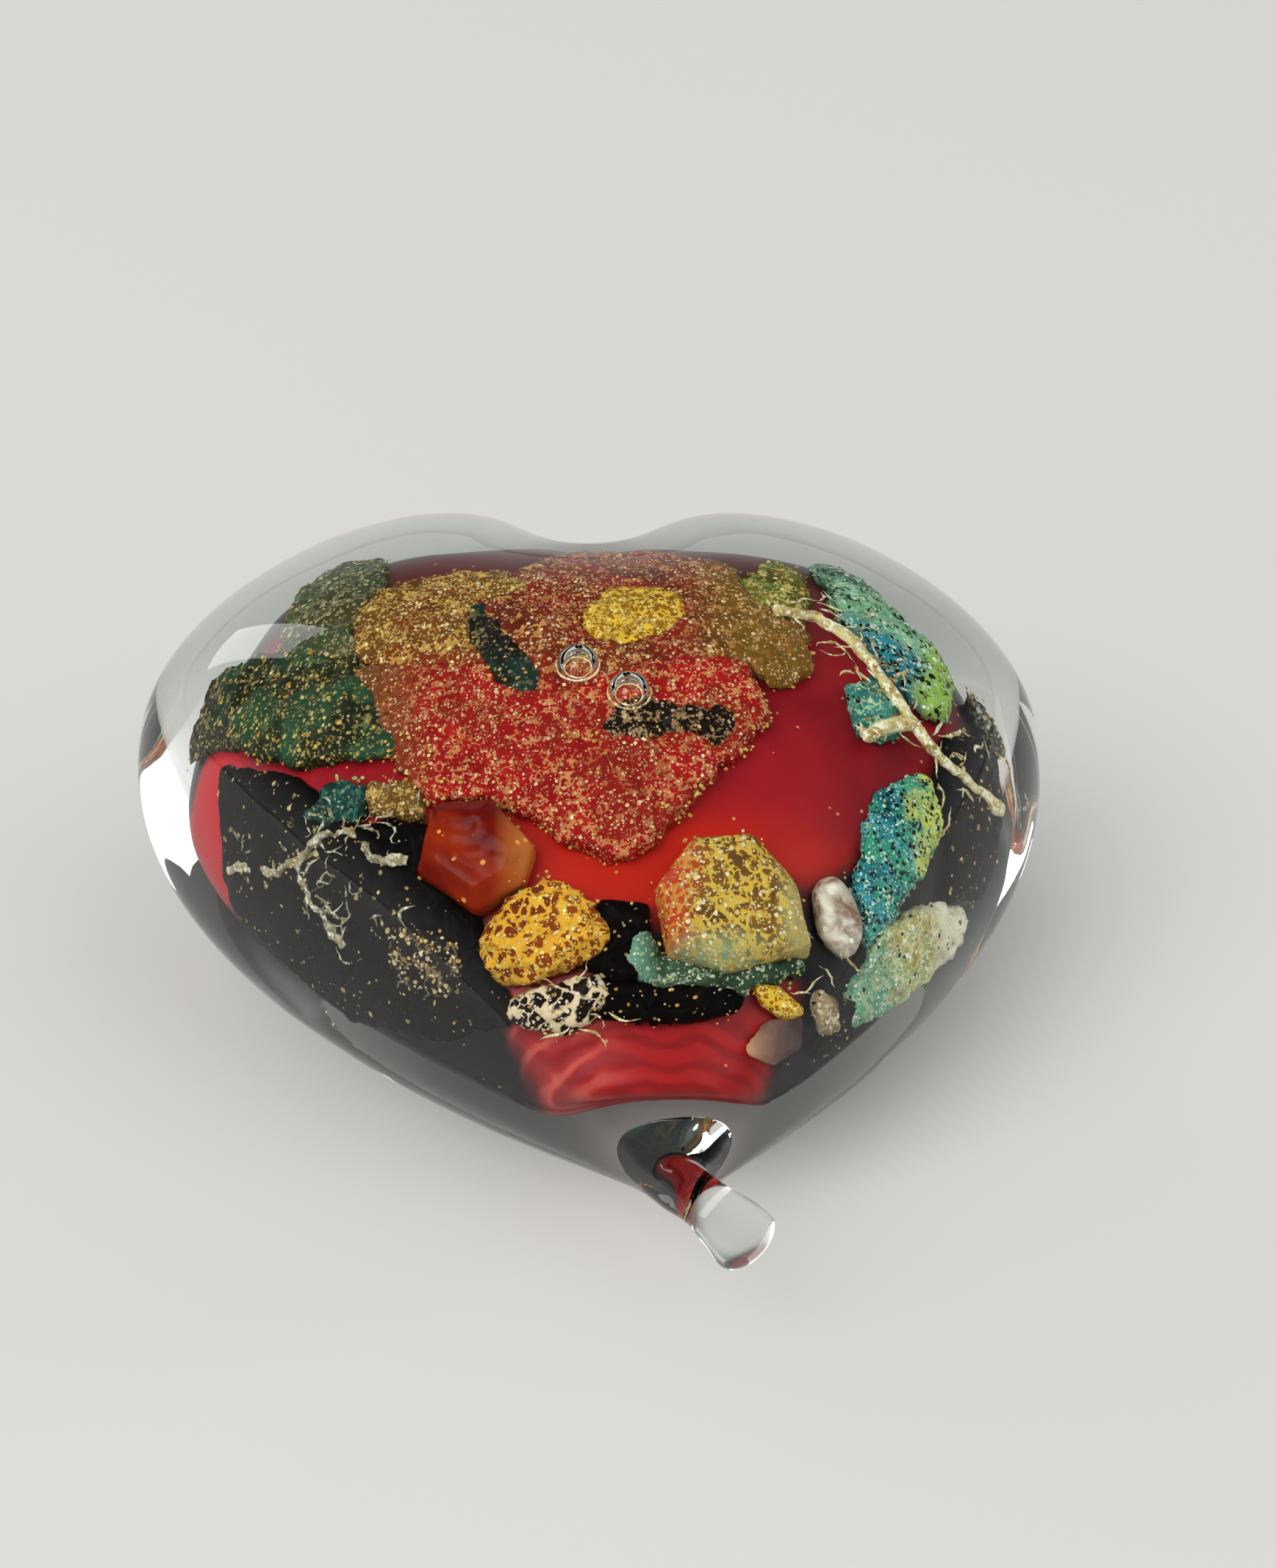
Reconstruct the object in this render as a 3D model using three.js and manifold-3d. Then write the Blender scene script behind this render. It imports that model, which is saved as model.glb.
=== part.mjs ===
// Glass heart paperweight, in millimetres.
// A clear casing, pulled to a tail at the point, is gathered round a ruby core that carries foil shards,
// glass lumps and drawn gold threads. +Z is up, +Y runs back to the lobes, and the origin is the middle of
// the ground foot.

import * as THREE from 'three';
import { LoftGeometry } from 'three/addons/geometries/LoftGeometry.js';
import { mergeVertices } from 'three/addons/utils/BufferGeometryUtils.js';
import Module from 'manifold-3d';

const wasm = await Module();
wasm.setup();

// Ruby core, from its own underside up
const coreWidth = 68;
const coreHeight = 28;
const coreLobeReach = 27;
const coreLobeSpread = 15;
const coreLobeCrown = 1;
const coreCleftDepth = 3;
const coreCleftRise = 14;
const coreWidestReach = 8;
const coreGirthRise = 12;
const coreApexReach = 2;
const coreKeelReach = 3;
const coreTipReach = 38;
const coreTipSwing = 7.5;
const coreTipRise = 4.5;
const coreBluntReach = 33;
const coreBluntEdge = 2;
const coreBrowRise = 8.5;
const coreChinSlope = 1.1;

// Clear glass over the core
const footGlass = 6;
const topGlass = 11;
const sideGlass = 11;
const lobeGlass = 15.5;
const tipGlass = 5.5;

// Outside of the casing
const lobeSpread = 18.5;
const lobeCrown = 3;
const cleftDepth = 11.5;
const cleftHeight = 24.5;
const widestReach = 13;
const girthHeight = 19.5;
const apexReach = 2;
const keelReach = 4;
const belly = 3;
const tipSwing = 8.5;
const tipDrop = 1;

// Pulled tail
const neckRadius = 2.4;
const bulbRadius = 3.4;
const tailHump = 3;
const tailSwing = 6.3;
const tailLength = 4.4;
const tailHumpShare = 0.3;
const tailEndRound = 0.6;

// Pontil plug, shards, threads and bubbles
const pontilRadius = 8;
const sheetThickness = 1;
const threadRadius = 0.5;
const bubbleRadius = 2;
const bubbleRise = 1.5;
const clearance = 0.3;

// Heights and rounded edges of the lumps and chips
const amberChipHeight = 4;
const nuggetHeight = 3.4;
const chunkHeight = 3.6;
const opalChipHeight = 2;
const clusterHeight = 1.8;
const clearChipHeight = 1.6;
const sliverHeight = 1.4;
const lumpEdge = 1.2;
const opalEdge = 0.7;
const clusterEdge = 0.6;
const clearChipEdge = 0.5;
const sliverEdge = 0.3;

// How deep a lump and a sheet are cut before the core takes its share
const lumpRoot = 3;
const sheetRoot = 9;

// Layout grid that the pieces' corners lie on: it divides the core's width, and its length from lobes to tip
const layoutColumns = 136;
const layoutRows = 130;

// Stations along a heart, from 0 at the cleft to 1 at the tip
const crestStation = 0.2;
const sideStation = 0.45;
const crownEnd = 0.7;
const neckStation = 0.945;

// Fractions that set how full the curves of both hearts are
const crestRound = 0.48;
const sideRound = 0.4;
const flankRound = 0.42;
const pointRound = 0.15;
const cleftFlare = 0.2;
const cleftSteep = 0.62;
const backLean = 0.35;
const riseRound = 0.62;
const sinkRound = 0.4;
const ridgeRound = 0.46;
const noseRound = 0.24;
const chinRound = 0.45;
const sectionPower = 0.9;
const girthFall = 1.2;

// Facets
const casingColumns = 36;
const casingRows = 26;
const coreColumns = 30;
const coreRows = 20;
const tailRows = 5;
const pontilSides = 24;
const bubbleSides = 10;
const bubbleRows = 6;
const threadQuarterSides = 3;
const moltenPointsPerCorner = 2;
const mergeDistance = 1e-4;
const tangentStep = 0.01;

const coreHeart = {
  width: coreWidth,
  bottom: footGlass,
  top: footGlass + coreHeight,
  lobeReach: coreLobeReach,
  lobeSpread: coreLobeSpread,
  lobeCrown: coreLobeCrown,
  cleftReach: coreLobeReach - coreCleftDepth,
  cleftHeight: footGlass + coreCleftRise,
  widestReach: coreWidestReach,
  girthHeight: footGlass + coreGirthRise,
  apexReach: coreApexReach,
  keelReach: coreKeelReach,
  tipReach: coreTipReach,
  tipSwing: coreTipSwing,
  tipHeight: footGlass + coreTipRise,
};

const casingHeart = {
  width: coreWidth + 2 * sideGlass,
  bottom: -belly,
  top: coreHeart.top + topGlass,
  lobeReach: coreLobeReach + lobeGlass,
  lobeSpread,
  lobeCrown,
  cleftReach: coreLobeReach + lobeGlass - cleftDepth,
  cleftHeight,
  widestReach,
  girthHeight,
  apexReach,
  keelReach,
  tipReach: coreTipReach + tipGlass,
  tipSwing,
  tipHeight: coreHeart.tipHeight - tipDrop,
};

const finishes = {
  clearGlass: { color: 0xeef3f2, roughness: 0.02, metalness: 0, transparent: true, opacity: 0.25 },
  rubyGlass: { color: 0xb5121f, roughness: 0.12, metalness: 0 },
  amberGlass: { color: 0xc4531a, roughness: 0.12, metalness: 0 },
  opalGlass: { color: 0xc9bfae, roughness: 0.2, metalness: 0 },
  blackGlass: { color: 0x0b0a0a, roughness: 0.1, metalness: 0 },
  goldFoil: { color: 0xb08a2c, roughness: 0.35, metalness: 0.8 },
  sunflowerFoil: { color: 0xd9a514, roughness: 0.35, metalness: 0.7 },
  copperFoil: { color: 0xa8602c, roughness: 0.35, metalness: 0.7 },
  emberFoil: { color: 0xb8402a, roughness: 0.4, metalness: 0.5 },
  mossFoil: { color: 0x3f4f28, roughness: 0.35, metalness: 0.6 },
  sageFoil: { color: 0x7d8a63, roughness: 0.4, metalness: 0.5 },
  tealFoil: { color: 0x2c8a96, roughness: 0.35, metalness: 0.6 },
  mintFoil: { color: 0x7dc3a0, roughness: 0.4, metalness: 0.5 },
  limeFoil: { color: 0x9aa83e, roughness: 0.4, metalness: 0.5 },
  creamFoil: { color: 0xdcc98f, roughness: 0.45, metalness: 0.4 },
};

function smooth(share) {
  return THREE.MathUtils.smoothstep(share, 0, 1);
}

// Point on a chain of curves, where each curve runs from one station to the next
function pointOn(curves, stations, along) {
  let piece = 0;
  while (piece < curves.length - 1 && along > stations[piece + 1]) piece += 1;
  const share = (along - stations[piece]) / (stations[piece + 1] - stations[piece]);
  return curves[piece].getPoint(share);
}

function curveThrough(...points) {
  return new THREE.CubicBezierCurve(...points.map(([x, y]) => new THREE.Vector2(x, y)));
}

// Half outline in plan, from the cleft over the lobe's crest and the widest point to the tip
function heartOutline(heart) {
  const { lerp } = THREE.MathUtils;
  const half = heart.width / 2;
  const cleft = [0, heart.cleftReach];
  const crest = [heart.lobeSpread, heart.lobeReach];
  const side = [half, heart.widestReach];
  const tip = [0, -heart.tipReach];
  return [
    curveThrough(
      cleft,
      [crest[0] * cleftFlare, lerp(cleft[1], crest[1], cleftSteep)],
      [crest[0] * (1 - crestRound), crest[1]],
      crest,
    ),
    curveThrough(
      crest,
      [lerp(crest[0], half, crestRound), crest[1]],
      [half, lerp(side[1], crest[1], sideRound)],
      side,
    ),
    curveThrough(
      side,
      [half, lerp(side[1], tip[1], flankRound)],
      [half * pointRound, lerp(tip[1], side[1], pointRound)],
      tip,
    ),
  ];
}

// Side profile in the middle plane, as (reach, height), from the cleft over an extreme point to the tip
function heartProfile(heart, extremeReach, extremeHeight, leaveRound, arriveRound) {
  const { lerp } = THREE.MathUtils;
  const cleft = [heart.cleftReach, heart.cleftHeight];
  const extreme = [extremeReach, extremeHeight];
  const tip = [-heart.tipReach, heart.tipHeight];
  const lean = backLean * (heart.lobeReach - heart.cleftReach);
  return [
    curveThrough(
      cleft,
      [cleft[0] + lean, lerp(cleft[1], extremeHeight, leaveRound)],
      [lerp(extremeReach, cleft[0], ridgeRound), extremeHeight],
      extreme,
    ),
    curveThrough(
      extreme,
      [lerp(extremeReach, tip[0], ridgeRound), extremeHeight],
      [lerp(tip[0], extremeReach, noseRound), lerp(tip[1], extremeHeight, arriveRound)],
      tip,
    ),
  ];
}

// Height of the side line: it starts in the cleft, levels off at the lobes and falls towards the tip
function girthLine(heart, along, reach) {
  const { clamp, lerp } = THREE.MathUtils;
  const fall = clamp((heart.widestReach - reach) / (heart.widestReach + heart.tipReach), 0, 1);
  const height = lerp(heart.girthHeight, heart.tipHeight, fall ** girthFall);
  return lerp(heart.cleftHeight, height, smooth(along / crestStation));
}

// How much of the lobes' crown a station has
function crownShare(along) {
  const fade = THREE.MathUtils.clamp((along - crestStation) / (crownEnd - crestStation), 0, 1);
  return smooth(along / crestStation) * (1 - fade) ** 2;
}

// Returns a function that gives the heart's surface at a station and an angle round the middle line,
// with 0 at the right, a quarter turn at the top and a half turn at the left
function heartSurface(heart) {
  const outline = heartOutline(heart);
  const ridge = heartProfile(heart, heart.apexReach, heart.top, riseRound, noseRound);
  const keel = heartProfile(heart, heart.keelReach, heart.bottom, sinkRound, chinRound);
  const outlineStations = [0, crestStation, sideStation, 1];
  const profileStations = [0, sideStation, 1];
  return (along, angle) => {
    const rim = pointOn(outline, outlineStations, along);
    const rises = Math.sin(angle) >= 0;
    const profile = pointOn(rises ? ridge : keel, profileStations, along);
    const middle = heart.tipSwing * smooth((along - sideStation) / (1 - sideStation));
    const girth = girthLine(heart, along, rim.y);
    const across = Math.cos(angle);
    const up = Math.sin(angle);
    const crown = rises ? heart.lobeCrown * crownShare(along) * Math.sin(2 * angle) ** 2 : 0;
    return new THREE.Vector3(
      middle + rim.x * Math.sign(across) * Math.abs(across) ** sectionPower,
      rim.y * across ** 2 + profile.x * up ** 2,
      girth + (profile.y - girth) * Math.abs(up) ** sectionPower + crown,
    );
  };
}

// Rings of points round a heart, evenly spaced from the cleft to the last station
function heartRings(surface, lastStation, rows, columns) {
  const rings = [];
  for (let row = 0; row <= rows; row += 1) {
    const along = (lastStation * row) / rows;
    const ring = [];
    for (let column = 0; column < columns; column += 1) {
      ring.push(surface(along, (2 * Math.PI * column) / columns));
    }
    rings.push(ring);
  }
  return rings;
}

// The same rings moved outwards, with the poles at both ends moved along the heart
function grownRings(rings, margin) {
  const last = rings.length - 1;
  return rings.map((ring, row) => ring.map((point, column) => {
    if (row === 0) return point.clone().add(new THREE.Vector3(0, margin, 0));
    if (row === last) return point.clone().add(new THREE.Vector3(0, -margin, 0));
    const count = ring.length;
    const across = ring[(column + 1) % count].clone().sub(ring[(column + count - 1) % count]);
    const onward = rings[row + 1][column].clone().sub(rings[row - 1][column]);
    return point.clone().addScaledVector(across.cross(onward).normalize(), margin);
  }));
}

// Rings of the tail: a curved neck that swells to a bulb with a flattened end
function tailRings(neckRing) {
  const centre = new THREE.Vector3();
  neckRing.forEach((point) => centre.addScaledVector(point, 1 / neckRing.length));
  const tip = new THREE.Vector3(casingHeart.tipSwing, -casingHeart.tipReach, casingHeart.tipHeight);
  const end = tip.clone().add(new THREE.Vector3(tailSwing, -tailLength, 0));
  const hump = tip.clone().lerp(end, tailHumpShare).add(new THREE.Vector3(0, 0, tailHump));
  const path = new THREE.QuadraticBezierCurve3(centre, hump, end);
  const up = new THREE.Vector3(0, 0, 1);
  const ringAt = (middle, tangent, radius) => {
    const right = up.clone().cross(tangent).normalize();
    const above = tangent.clone().cross(right);
    return neckRing.map((_, column) => {
      const angle = (2 * Math.PI * column) / neckRing.length;
      return middle.clone()
        .addScaledVector(right, radius * Math.cos(angle))
        .addScaledVector(above, radius * Math.sin(angle));
    });
  };
  const rings = [];
  const rootRadius = centre.distanceTo(neckRing[0]);
  for (let row = 1; row <= tailRows; row += 1) {
    const share = row / tailRows;
    const flare = (rootRadius - neckRadius) * (1 - smooth(2 * share));
    const swell = (bulbRadius - neckRadius) * smooth(2 * share - 1);
    rings.push(ringAt(path.getPoint(share), path.getTangent(share), neckRadius + flare + swell));
  }
  const heading = path.getTangent(1);
  for (let row = 1; row <= tailRows; row += 1) {
    const turn = (Math.PI / 2) * (row / tailRows);
    const middle = end.clone().addScaledVector(heading, tailEndRound * bulbRadius * Math.sin(turn));
    rings.push(ringAt(middle, heading, bulbRadius * Math.cos(turn)));
  }
  return rings;
}

// A closed geometry as a solid that can be joined and cut, without the triangles that close up at a pole
function solidOf(geometry) {
  const bare = new THREE.BufferGeometry();
  bare.setAttribute('position', geometry.attributes.position);
  bare.setIndex(geometry.index);
  const merged = mergeVertices(bare, mergeDistance);
  const corners = merged.index.array;
  const triangles = [];
  for (let first = 0; first < corners.length; first += 3) {
    const triangle = [corners[first], corners[first + 1], corners[first + 2]];
    if (new Set(triangle).size === 3) triangles.push(...triangle);
  }
  return new wasm.Manifold(new wasm.Mesh({
    numProp: 3,
    vertProperties: new Float32Array(merged.attributes.position.array),
    triVerts: new Uint32Array(triangles),
  }));
}

function loftSolid(rings) {
  return solidOf(new LoftGeometry(rings, { closed: true }));
}

function cutAway(solid, hollows) {
  return hollows.reduce((rest, hollow) => rest.subtract(hollow), solid);
}

// A solid as a named mesh with its own material
function meshOf(name, solid, finish) {
  const cut = solid.getMesh();
  const geometry = new THREE.BufferGeometry();
  geometry.setAttribute('position', new THREE.BufferAttribute(new Float32Array(cut.vertProperties), 3));
  geometry.setIndex(new THREE.BufferAttribute(new Uint32Array(cut.triVerts), 1));
  geometry.computeVertexNormals();
  const mesh = new THREE.Mesh(geometry, new THREE.MeshStandardMaterial(finish));
  mesh.name = name;
  return mesh;
}

// Core surface, with its point pressed blunt, and undercut below the brow
const sharpCore = heartSurface(coreHeart);

function coreSurface(along, angle) {
  const point = sharpCore(along, angle);
  const below = Math.max(0, footGlass + coreBrowRise - point.z);
  const past = coreBluntEdge - coreBluntReach + coreChinSlope * below - point.y;
  if (past > 0) point.y += past - coreBluntEdge * Math.tanh(past / coreBluntEdge);
  return point;
}

const coreRings = heartRings(coreSurface, 1, coreRows, coreColumns);

// The core grown by a margin
function grownCore(margin) {
  return loftSolid(grownRings(coreRings, margin));
}

const coreSkin = grownCore(clearance);
const sheetTop = grownCore(clearance + sheetThickness);
const sheetRoof = grownCore(clearance + sheetThickness + clearance);

// Place on the core with its outward direction
function coreSeat(along, around) {
  const angle = THREE.MathUtils.degToRad(around);
  const place = coreSurface(along, angle);
  const across = coreSurface(along, angle + tangentStep).sub(coreSurface(along, angle - tangentStep));
  const onward = coreSurface(along + tangentStep, angle).sub(coreSurface(along - tangentStep, angle));
  return { place, outward: across.cross(onward).normalize() };
}

// Frame on the core's surface: X to the right, Y back towards the lobes and Z outwards
function seatFrame(along, around) {
  const { place, outward } = coreSeat(along, around);
  const back = new THREE.Vector3(0, 1, 0).projectOnPlane(outward).normalize();
  const right = back.clone().cross(outward);
  return new THREE.Matrix4().makeBasis(right, back, outward).setPosition(place);
}

// Outline from corners on the layout grid, straight-sided like broken glass or rounded like molten glass
function shardOutline(corners, molten) {
  const cellWidth = coreWidth / layoutColumns;
  const cellLength = (coreLobeReach + coreTipReach) / layoutRows;
  const points = corners.map(([x, y]) => new THREE.Vector2(x * cellWidth, y * cellLength));
  if (THREE.ShapeUtils.isClockWise(points)) points.reverse();
  if (!molten) return points;
  const corner3d = points.map((point) => new THREE.Vector3(point.x, point.y, 0));
  const curve = new THREE.CatmullRomCurve3(corner3d, true);
  const smoothPoints = curve.getPoints(points.length * moltenPointsPerCorner).slice(0, -1);
  return smoothPoints.map((point) => new THREE.Vector2(point.x, point.y));
}

// Outline moved outwards by a margin
function grownOutline(outline, margin) {
  const count = outline.length;
  const outwards = outline.map((point, index) => {
    const edge = outline[(index + 1) % count].clone().sub(point).normalize();
    return new THREE.Vector2(edge.y, -edge.x);
  });
  return outline.map((point, index) => {
    const before = outwards[(index + count - 1) % count];
    const mitre = before.clone().add(outwards[index]);
    return point.clone().addScaledVector(mitre, margin / (1 + before.dot(outwards[index])));
  });
}

// Outline raised into a block on the core, with its edges rounded over where an edge is given
function blockOn(piece, margin, root, head) {
  const shape = new THREE.Shape(grownOutline(shardOutline(piece.corners, piece.molten), margin));
  const edge = piece.edge ?? 0;
  const geometry = new THREE.ExtrudeGeometry(shape, {
    depth: head + root - 2 * edge,
    bevelEnabled: edge > 0,
    bevelThickness: edge,
    bevelSize: edge,
    bevelOffset: -edge,
    bevelSegments: 1,
  });
  geometry.translate(0, 0, edge - root);
  geometry.applyMatrix4(seatFrame(piece.along, piece.around));
  return solidOf(geometry);
}

// Thin shard that follows the core
function sheetSolid(piece, margin) {
  return blockOn(piece, margin, sheetRoot, sheetRoot).intersect(margin > 0 ? sheetRoof : sheetTop);
}

// Lump that stands on the core
function lumpSolid(piece, margin) {
  return blockOn(piece, margin, lumpRoot, piece.height + margin);
}

// Thread drawn over the shards, as one or more strands that share points
function strandSolid(route, margin) {
  const lift = clearance + sheetThickness + clearance + threadRadius;
  const points = route.map(([along, around]) => {
    const { place, outward } = coreSeat(along, around);
    return place.addScaledVector(outward, lift);
  });
  const section = new THREE.Shape().absarc(0, 0, threadRadius + margin, 0, 2 * Math.PI);
  const geometry = new THREE.ExtrudeGeometry(section, {
    steps: route.length + 2,
    curveSegments: threadQuarterSides,
    extrudePath: new THREE.CatmullRomCurve3(points),
  });
  return solidOf(geometry);
}

function threadSolid(piece, margin) {
  const [first, ...branches] = piece.strands.map((route) => strandSolid(route, margin));
  return branches.reduce((thread, branch) => thread.add(branch), first);
}

// Glass lumps and chips, which the sheets are fitted round
const lumps = [
  {
    name: 'amber_glass_chip',
    finish: finishes.amberGlass,
    along: 0.64,
    around: 115,
    corners: [[-10, 0], [-1, -10], [8, -7], [11, -1], [5, 9], [-5, 11]],
    height: amberChipHeight,
    edge: lumpEdge,
  },
  {
    name: 'amber_nugget',
    finish: finishes.sunflowerFoil,
    along: 0.72,
    around: 110,
    corners: [[-11, 0], [-8, -7], [3, -7], [12, -3], [5, 8], [-2, 8]],
    molten: true,
    height: nuggetHeight,
    edge: lumpEdge,
  },
  {
    name: 'cream_cluster',
    finish: finishes.creamFoil,
    along: 0.79,
    around: 120,
    corners: [[-9, 1], [-4, -3], [2, -5], [8, -2], [8, 3], [0, 3], [-4, 4]],
    molten: true,
    height: clusterHeight,
    edge: clusterEdge,
  },
  {
    name: 'speckle_cluster_left',
    finish: finishes.goldFoil,
    along: 0.71,
    around: 147,
    corners: [[-6, 5], [-6, -3], [2, -8], [6, -5], [4, 3], [-1, 8]],
    molten: true,
    height: clusterHeight,
    edge: clusterEdge,
  },
  {
    name: 'gold_green_chunk_front',
    finish: finishes.limeFoil,
    along: 0.69,
    around: 65,
    corners: [[-14, 0], [-9, -12], [1, -13], [15, -5], [10, 6], [1, 13], [-9, 10]],
    height: chunkHeight,
    edge: lumpEdge,
  },
  {
    name: 'opal_chip_front_right',
    finish: finishes.opalGlass,
    along: 0.68,
    around: 34,
    corners: [[-6, 3], [-2, -3], [4, -4], [5, 1], [0, 6], [-5, 7]],
    molten: true,
    height: opalChipHeight,
    edge: opalEdge,
  },
  {
    name: 'clear_chip_front',
    finish: finishes.opalGlass,
    along: 0.8,
    around: 25,
    corners: [[-3, -6], [2, -4], [4, 2], [1, 6], [-3, 1]],
    height: clearChipHeight,
    edge: clearChipEdge,
  },
  {
    name: 'yellow_sliver_front',
    finish: finishes.sunflowerFoil,
    along: 0.77,
    around: 38,
    corners: [[-5, 0], [-2, -2], [3, -2], [5, 1], [-1, 2]],
    height: sliverHeight,
    edge: sliverEdge,
  },
  {
    name: 'cream_sliver_front',
    finish: finishes.creamFoil,
    along: 0.75,
    around: 14,
    corners: [[-4, 1], [-1, -2], [3, -2], [4, 1], [-1, 3]],
    height: sliverHeight,
    edge: sliverEdge,
  },
];

// Foil and black glass shards, in the order in which they were laid
const sheets = [
  {
    name: 'black_flake_centre',
    finish: finishes.blackGlass,
    along: 0.51,
    around: 81,
    corners: [[-10, 0], [-8, 4], [-2, 5], [6, 4], [12, 5], [14, 2], [11, -3], [6, -1], [-2, -2], [-8, -2]],
  },
  {
    name: 'dark_flake_left',
    finish: finishes.mossFoil,
    along: 0.4,
    around: 101,
    corners: [[-7, 10], [-5, 10], [1, 0], [6, -7], [6, -11], [0, -10], [-4, -3], [-7, 4]],
  },
  {
    name: 'sunflower_sheet',
    finish: finishes.sunflowerFoil,
    along: 0.33,
    around: 83,
    corners: [[-9, -4], [-7, -10], [1, -9], [7, -5], [9, 1], [3, 7], [-5, 4]],
    molten: true,
  },
  {
    name: 'teal_chip_left',
    finish: finishes.tealFoil,
    along: 0.56,
    around: 136,
    corners: [[-6, 2], [-3, -2], [3, -5], [6, 0], [0, 4]],
  },
  {
    name: 'gold_chip_left',
    finish: finishes.sunflowerFoil,
    along: 0.57,
    around: 123,
    corners: [[-5, 4], [-3, -2], [4, -4], [3, 2]],
  },
  {
    name: 'green_ribbon_front',
    finish: finishes.mintFoil,
    along: 0.752,
    around: 67,
    corners: [[-15, -3], [-14, 4], [-9, -1], [1, -1], [10, 4], [16, 4], [6, -4], [-9, -6]],
  },
  {
    name: 'gold_sheet_left',
    finish: finishes.goldFoil,
    along: 0.34,
    around: 113,
    corners: [[-16, -9], [-17, 3], [-13, 11], [0, 13], [10, 12], [14, 5], [4, 1], [5, -10], [10, -17]],
  },
  {
    name: 'copper_sheet_rear',
    finish: finishes.copperFoil,
    along: 0.29,
    around: 82,
    corners: [
      [-34, -10], [-13, -26], [0, -22], [18, -16], [26, -20], [31, -14], [30, -5],
      [22, -2], [17, 13], [2, 20], [-13, 19], [-20, 10],
    ],
  },
  {
    name: 'ember_sheet_centre',
    finish: finishes.emberFoil,
    along: 0.53,
    around: 93,
    corners: [
      [-38, 22], [-16, 18], [12, 22], [32, 20], [36, 9],
      [22, -10], [12, -22], [0, -18], [-10, -10], [-26, -6],
    ],
  },
  {
    name: 'sage_shard_rear_left',
    finish: finishes.sageFoil,
    along: 0.33,
    around: 141,
    corners: [[-5, 17], [3, 19], [7, 3], [4, -8], [5, -18], [-7, -11], [-8, 1]],
  },
  {
    name: 'moss_shard_left',
    finish: finishes.mossFoil,
    along: 0.44,
    around: 143,
    corners: [[-17, 12], [-11, 18], [-6, 15], [12, 4], [25, -8], [24, -20], [16, -19], [3, -14], [-10, 1]],
  },
  {
    name: 'lime_shard_rear_right',
    finish: finishes.limeFoil,
    along: 0.31,
    around: 51,
    corners: [[-6, 0], [-5, -9], [1, -10], [4, -3], [4, 8], [1, 14]],
  },
  {
    name: 'mint_shard_rear_right',
    finish: finishes.mintFoil,
    along: 0.36,
    around: 32,
    corners: [[-9, -3], [0, -11], [4, -15], [8, -13], [9, -2], [1, 9], [-5, 20], [-8, 19]],
  },
  {
    name: 'teal_patch_right',
    finish: finishes.tealFoil,
    along: 0.46,
    around: 44,
    corners: [[-5, 2], [-1, -7], [5, -1], [0, 6]],
  },
  {
    name: 'teal_shard_right',
    finish: finishes.tealFoil,
    along: 0.59,
    around: 28,
    corners: [[-3, -12], [-7, -3], [-7, 8], [-1, 16], [5, 12], [5, 3], [3, -19]],
  },
  {
    name: 'green_gold_shard_right',
    finish: finishes.limeFoil,
    along: 0.64,
    around: 1,
    corners: [[2, -21], [-4, -15], [-9, -6], [-6, 7], [1, 18], [5, 18], [6, 8], [5, -7]],
  },
  {
    name: 'black_shard_right',
    finish: finishes.blackGlass,
    along: 0.5,
    around: 11,
    corners: [[-10, 8], [-10, -3], [-4, -6], [6, -16], [12, -5], [8, 6], [0, 15]],
  },
  {
    name: 'gold_dust_sliver_right',
    finish: finishes.creamFoil,
    along: 0.39,
    around: 8,
    corners: [[-4, 1], [1, -3], [4, 0], [-1, 3]],
  },
  {
    name: 'black_shard_front',
    finish: finishes.blackGlass,
    along: 0.775,
    around: 89,
    corners: [[-7, -1], [-8, -6], [4, -7], [16, -5], [18, -1], [10, -1]],
  },
  {
    name: 'black_chip_front',
    finish: finishes.blackGlass,
    along: 0.745,
    around: 91,
    corners: [[-4, 9], [4, 8], [3, -3], [-1, -5], [-7, -2]],
  },
  {
    name: 'black_shard_front_right',
    finish: finishes.blackGlass,
    along: 0.72,
    around: 26,
    corners: [[7, -1], [8, 4], [11, -4], [8, -13]],
  },
  {
    name: 'black_shard_front_left',
    finish: finishes.blackGlass,
    along: 0.65,
    around: 154,
    corners: [
      [-7, 42], [6, 27], [11, 10], [20, 2], [19, -14], [12, -29],
      [10, -37], [-5, -27], [-18, -8], [-20, 7], [-22, 25], [-13, 34],
    ],
  },
];

// Gold threads, with each strand's route as stations along and degrees round the core
const threads = [
  {
    name: 'gold_vein_right',
    finish: finishes.creamFoil,
    strands: [
      [[0.35, 58], [0.37, 48], [0.42, 44], [0.47, 36], [0.49, 29], [0.47, 4]],
      [[0.47, 36], [0.48, 41], [0.5, 46]],
    ],
  },
  {
    name: 'gold_wisp_left',
    finish: finishes.creamFoil,
    strands: [
      [[0.54, 173], [0.59, 154], [0.58, 138], [0.61, 136], [0.63, 129]],
      [[0.59, 154], [0.61, 158], [0.64, 162], [0.66, 164]],
    ],
  },
];

// Round bubbles trapped in the casing, open to the core
const bubbles = [[0.445, 91], [0.477, 85]];

function bubbleSolid([along, around]) {
  const { place, outward } = coreSeat(along, around);
  const centre = place.addScaledVector(outward, bubbleRise);
  const geometry = new THREE.SphereGeometry(bubbleRadius, bubbleSides, bubbleRows);
  return solidOf(geometry.translate(centre.x, centre.y, centre.z));
}

// Post that carried the core, from the foot up into the core's underside
function pontilPost(margin) {
  const radius = pontilRadius + margin;
  const height = footGlass + coreGirthRise / 2;
  const geometry = new THREE.CylinderGeometry(radius, radius, height, pontilSides);
  geometry.rotateX(Math.PI / 2);
  geometry.translate(0, 0, height / 2 - margin);
  return solidOf(geometry);
}

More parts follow.
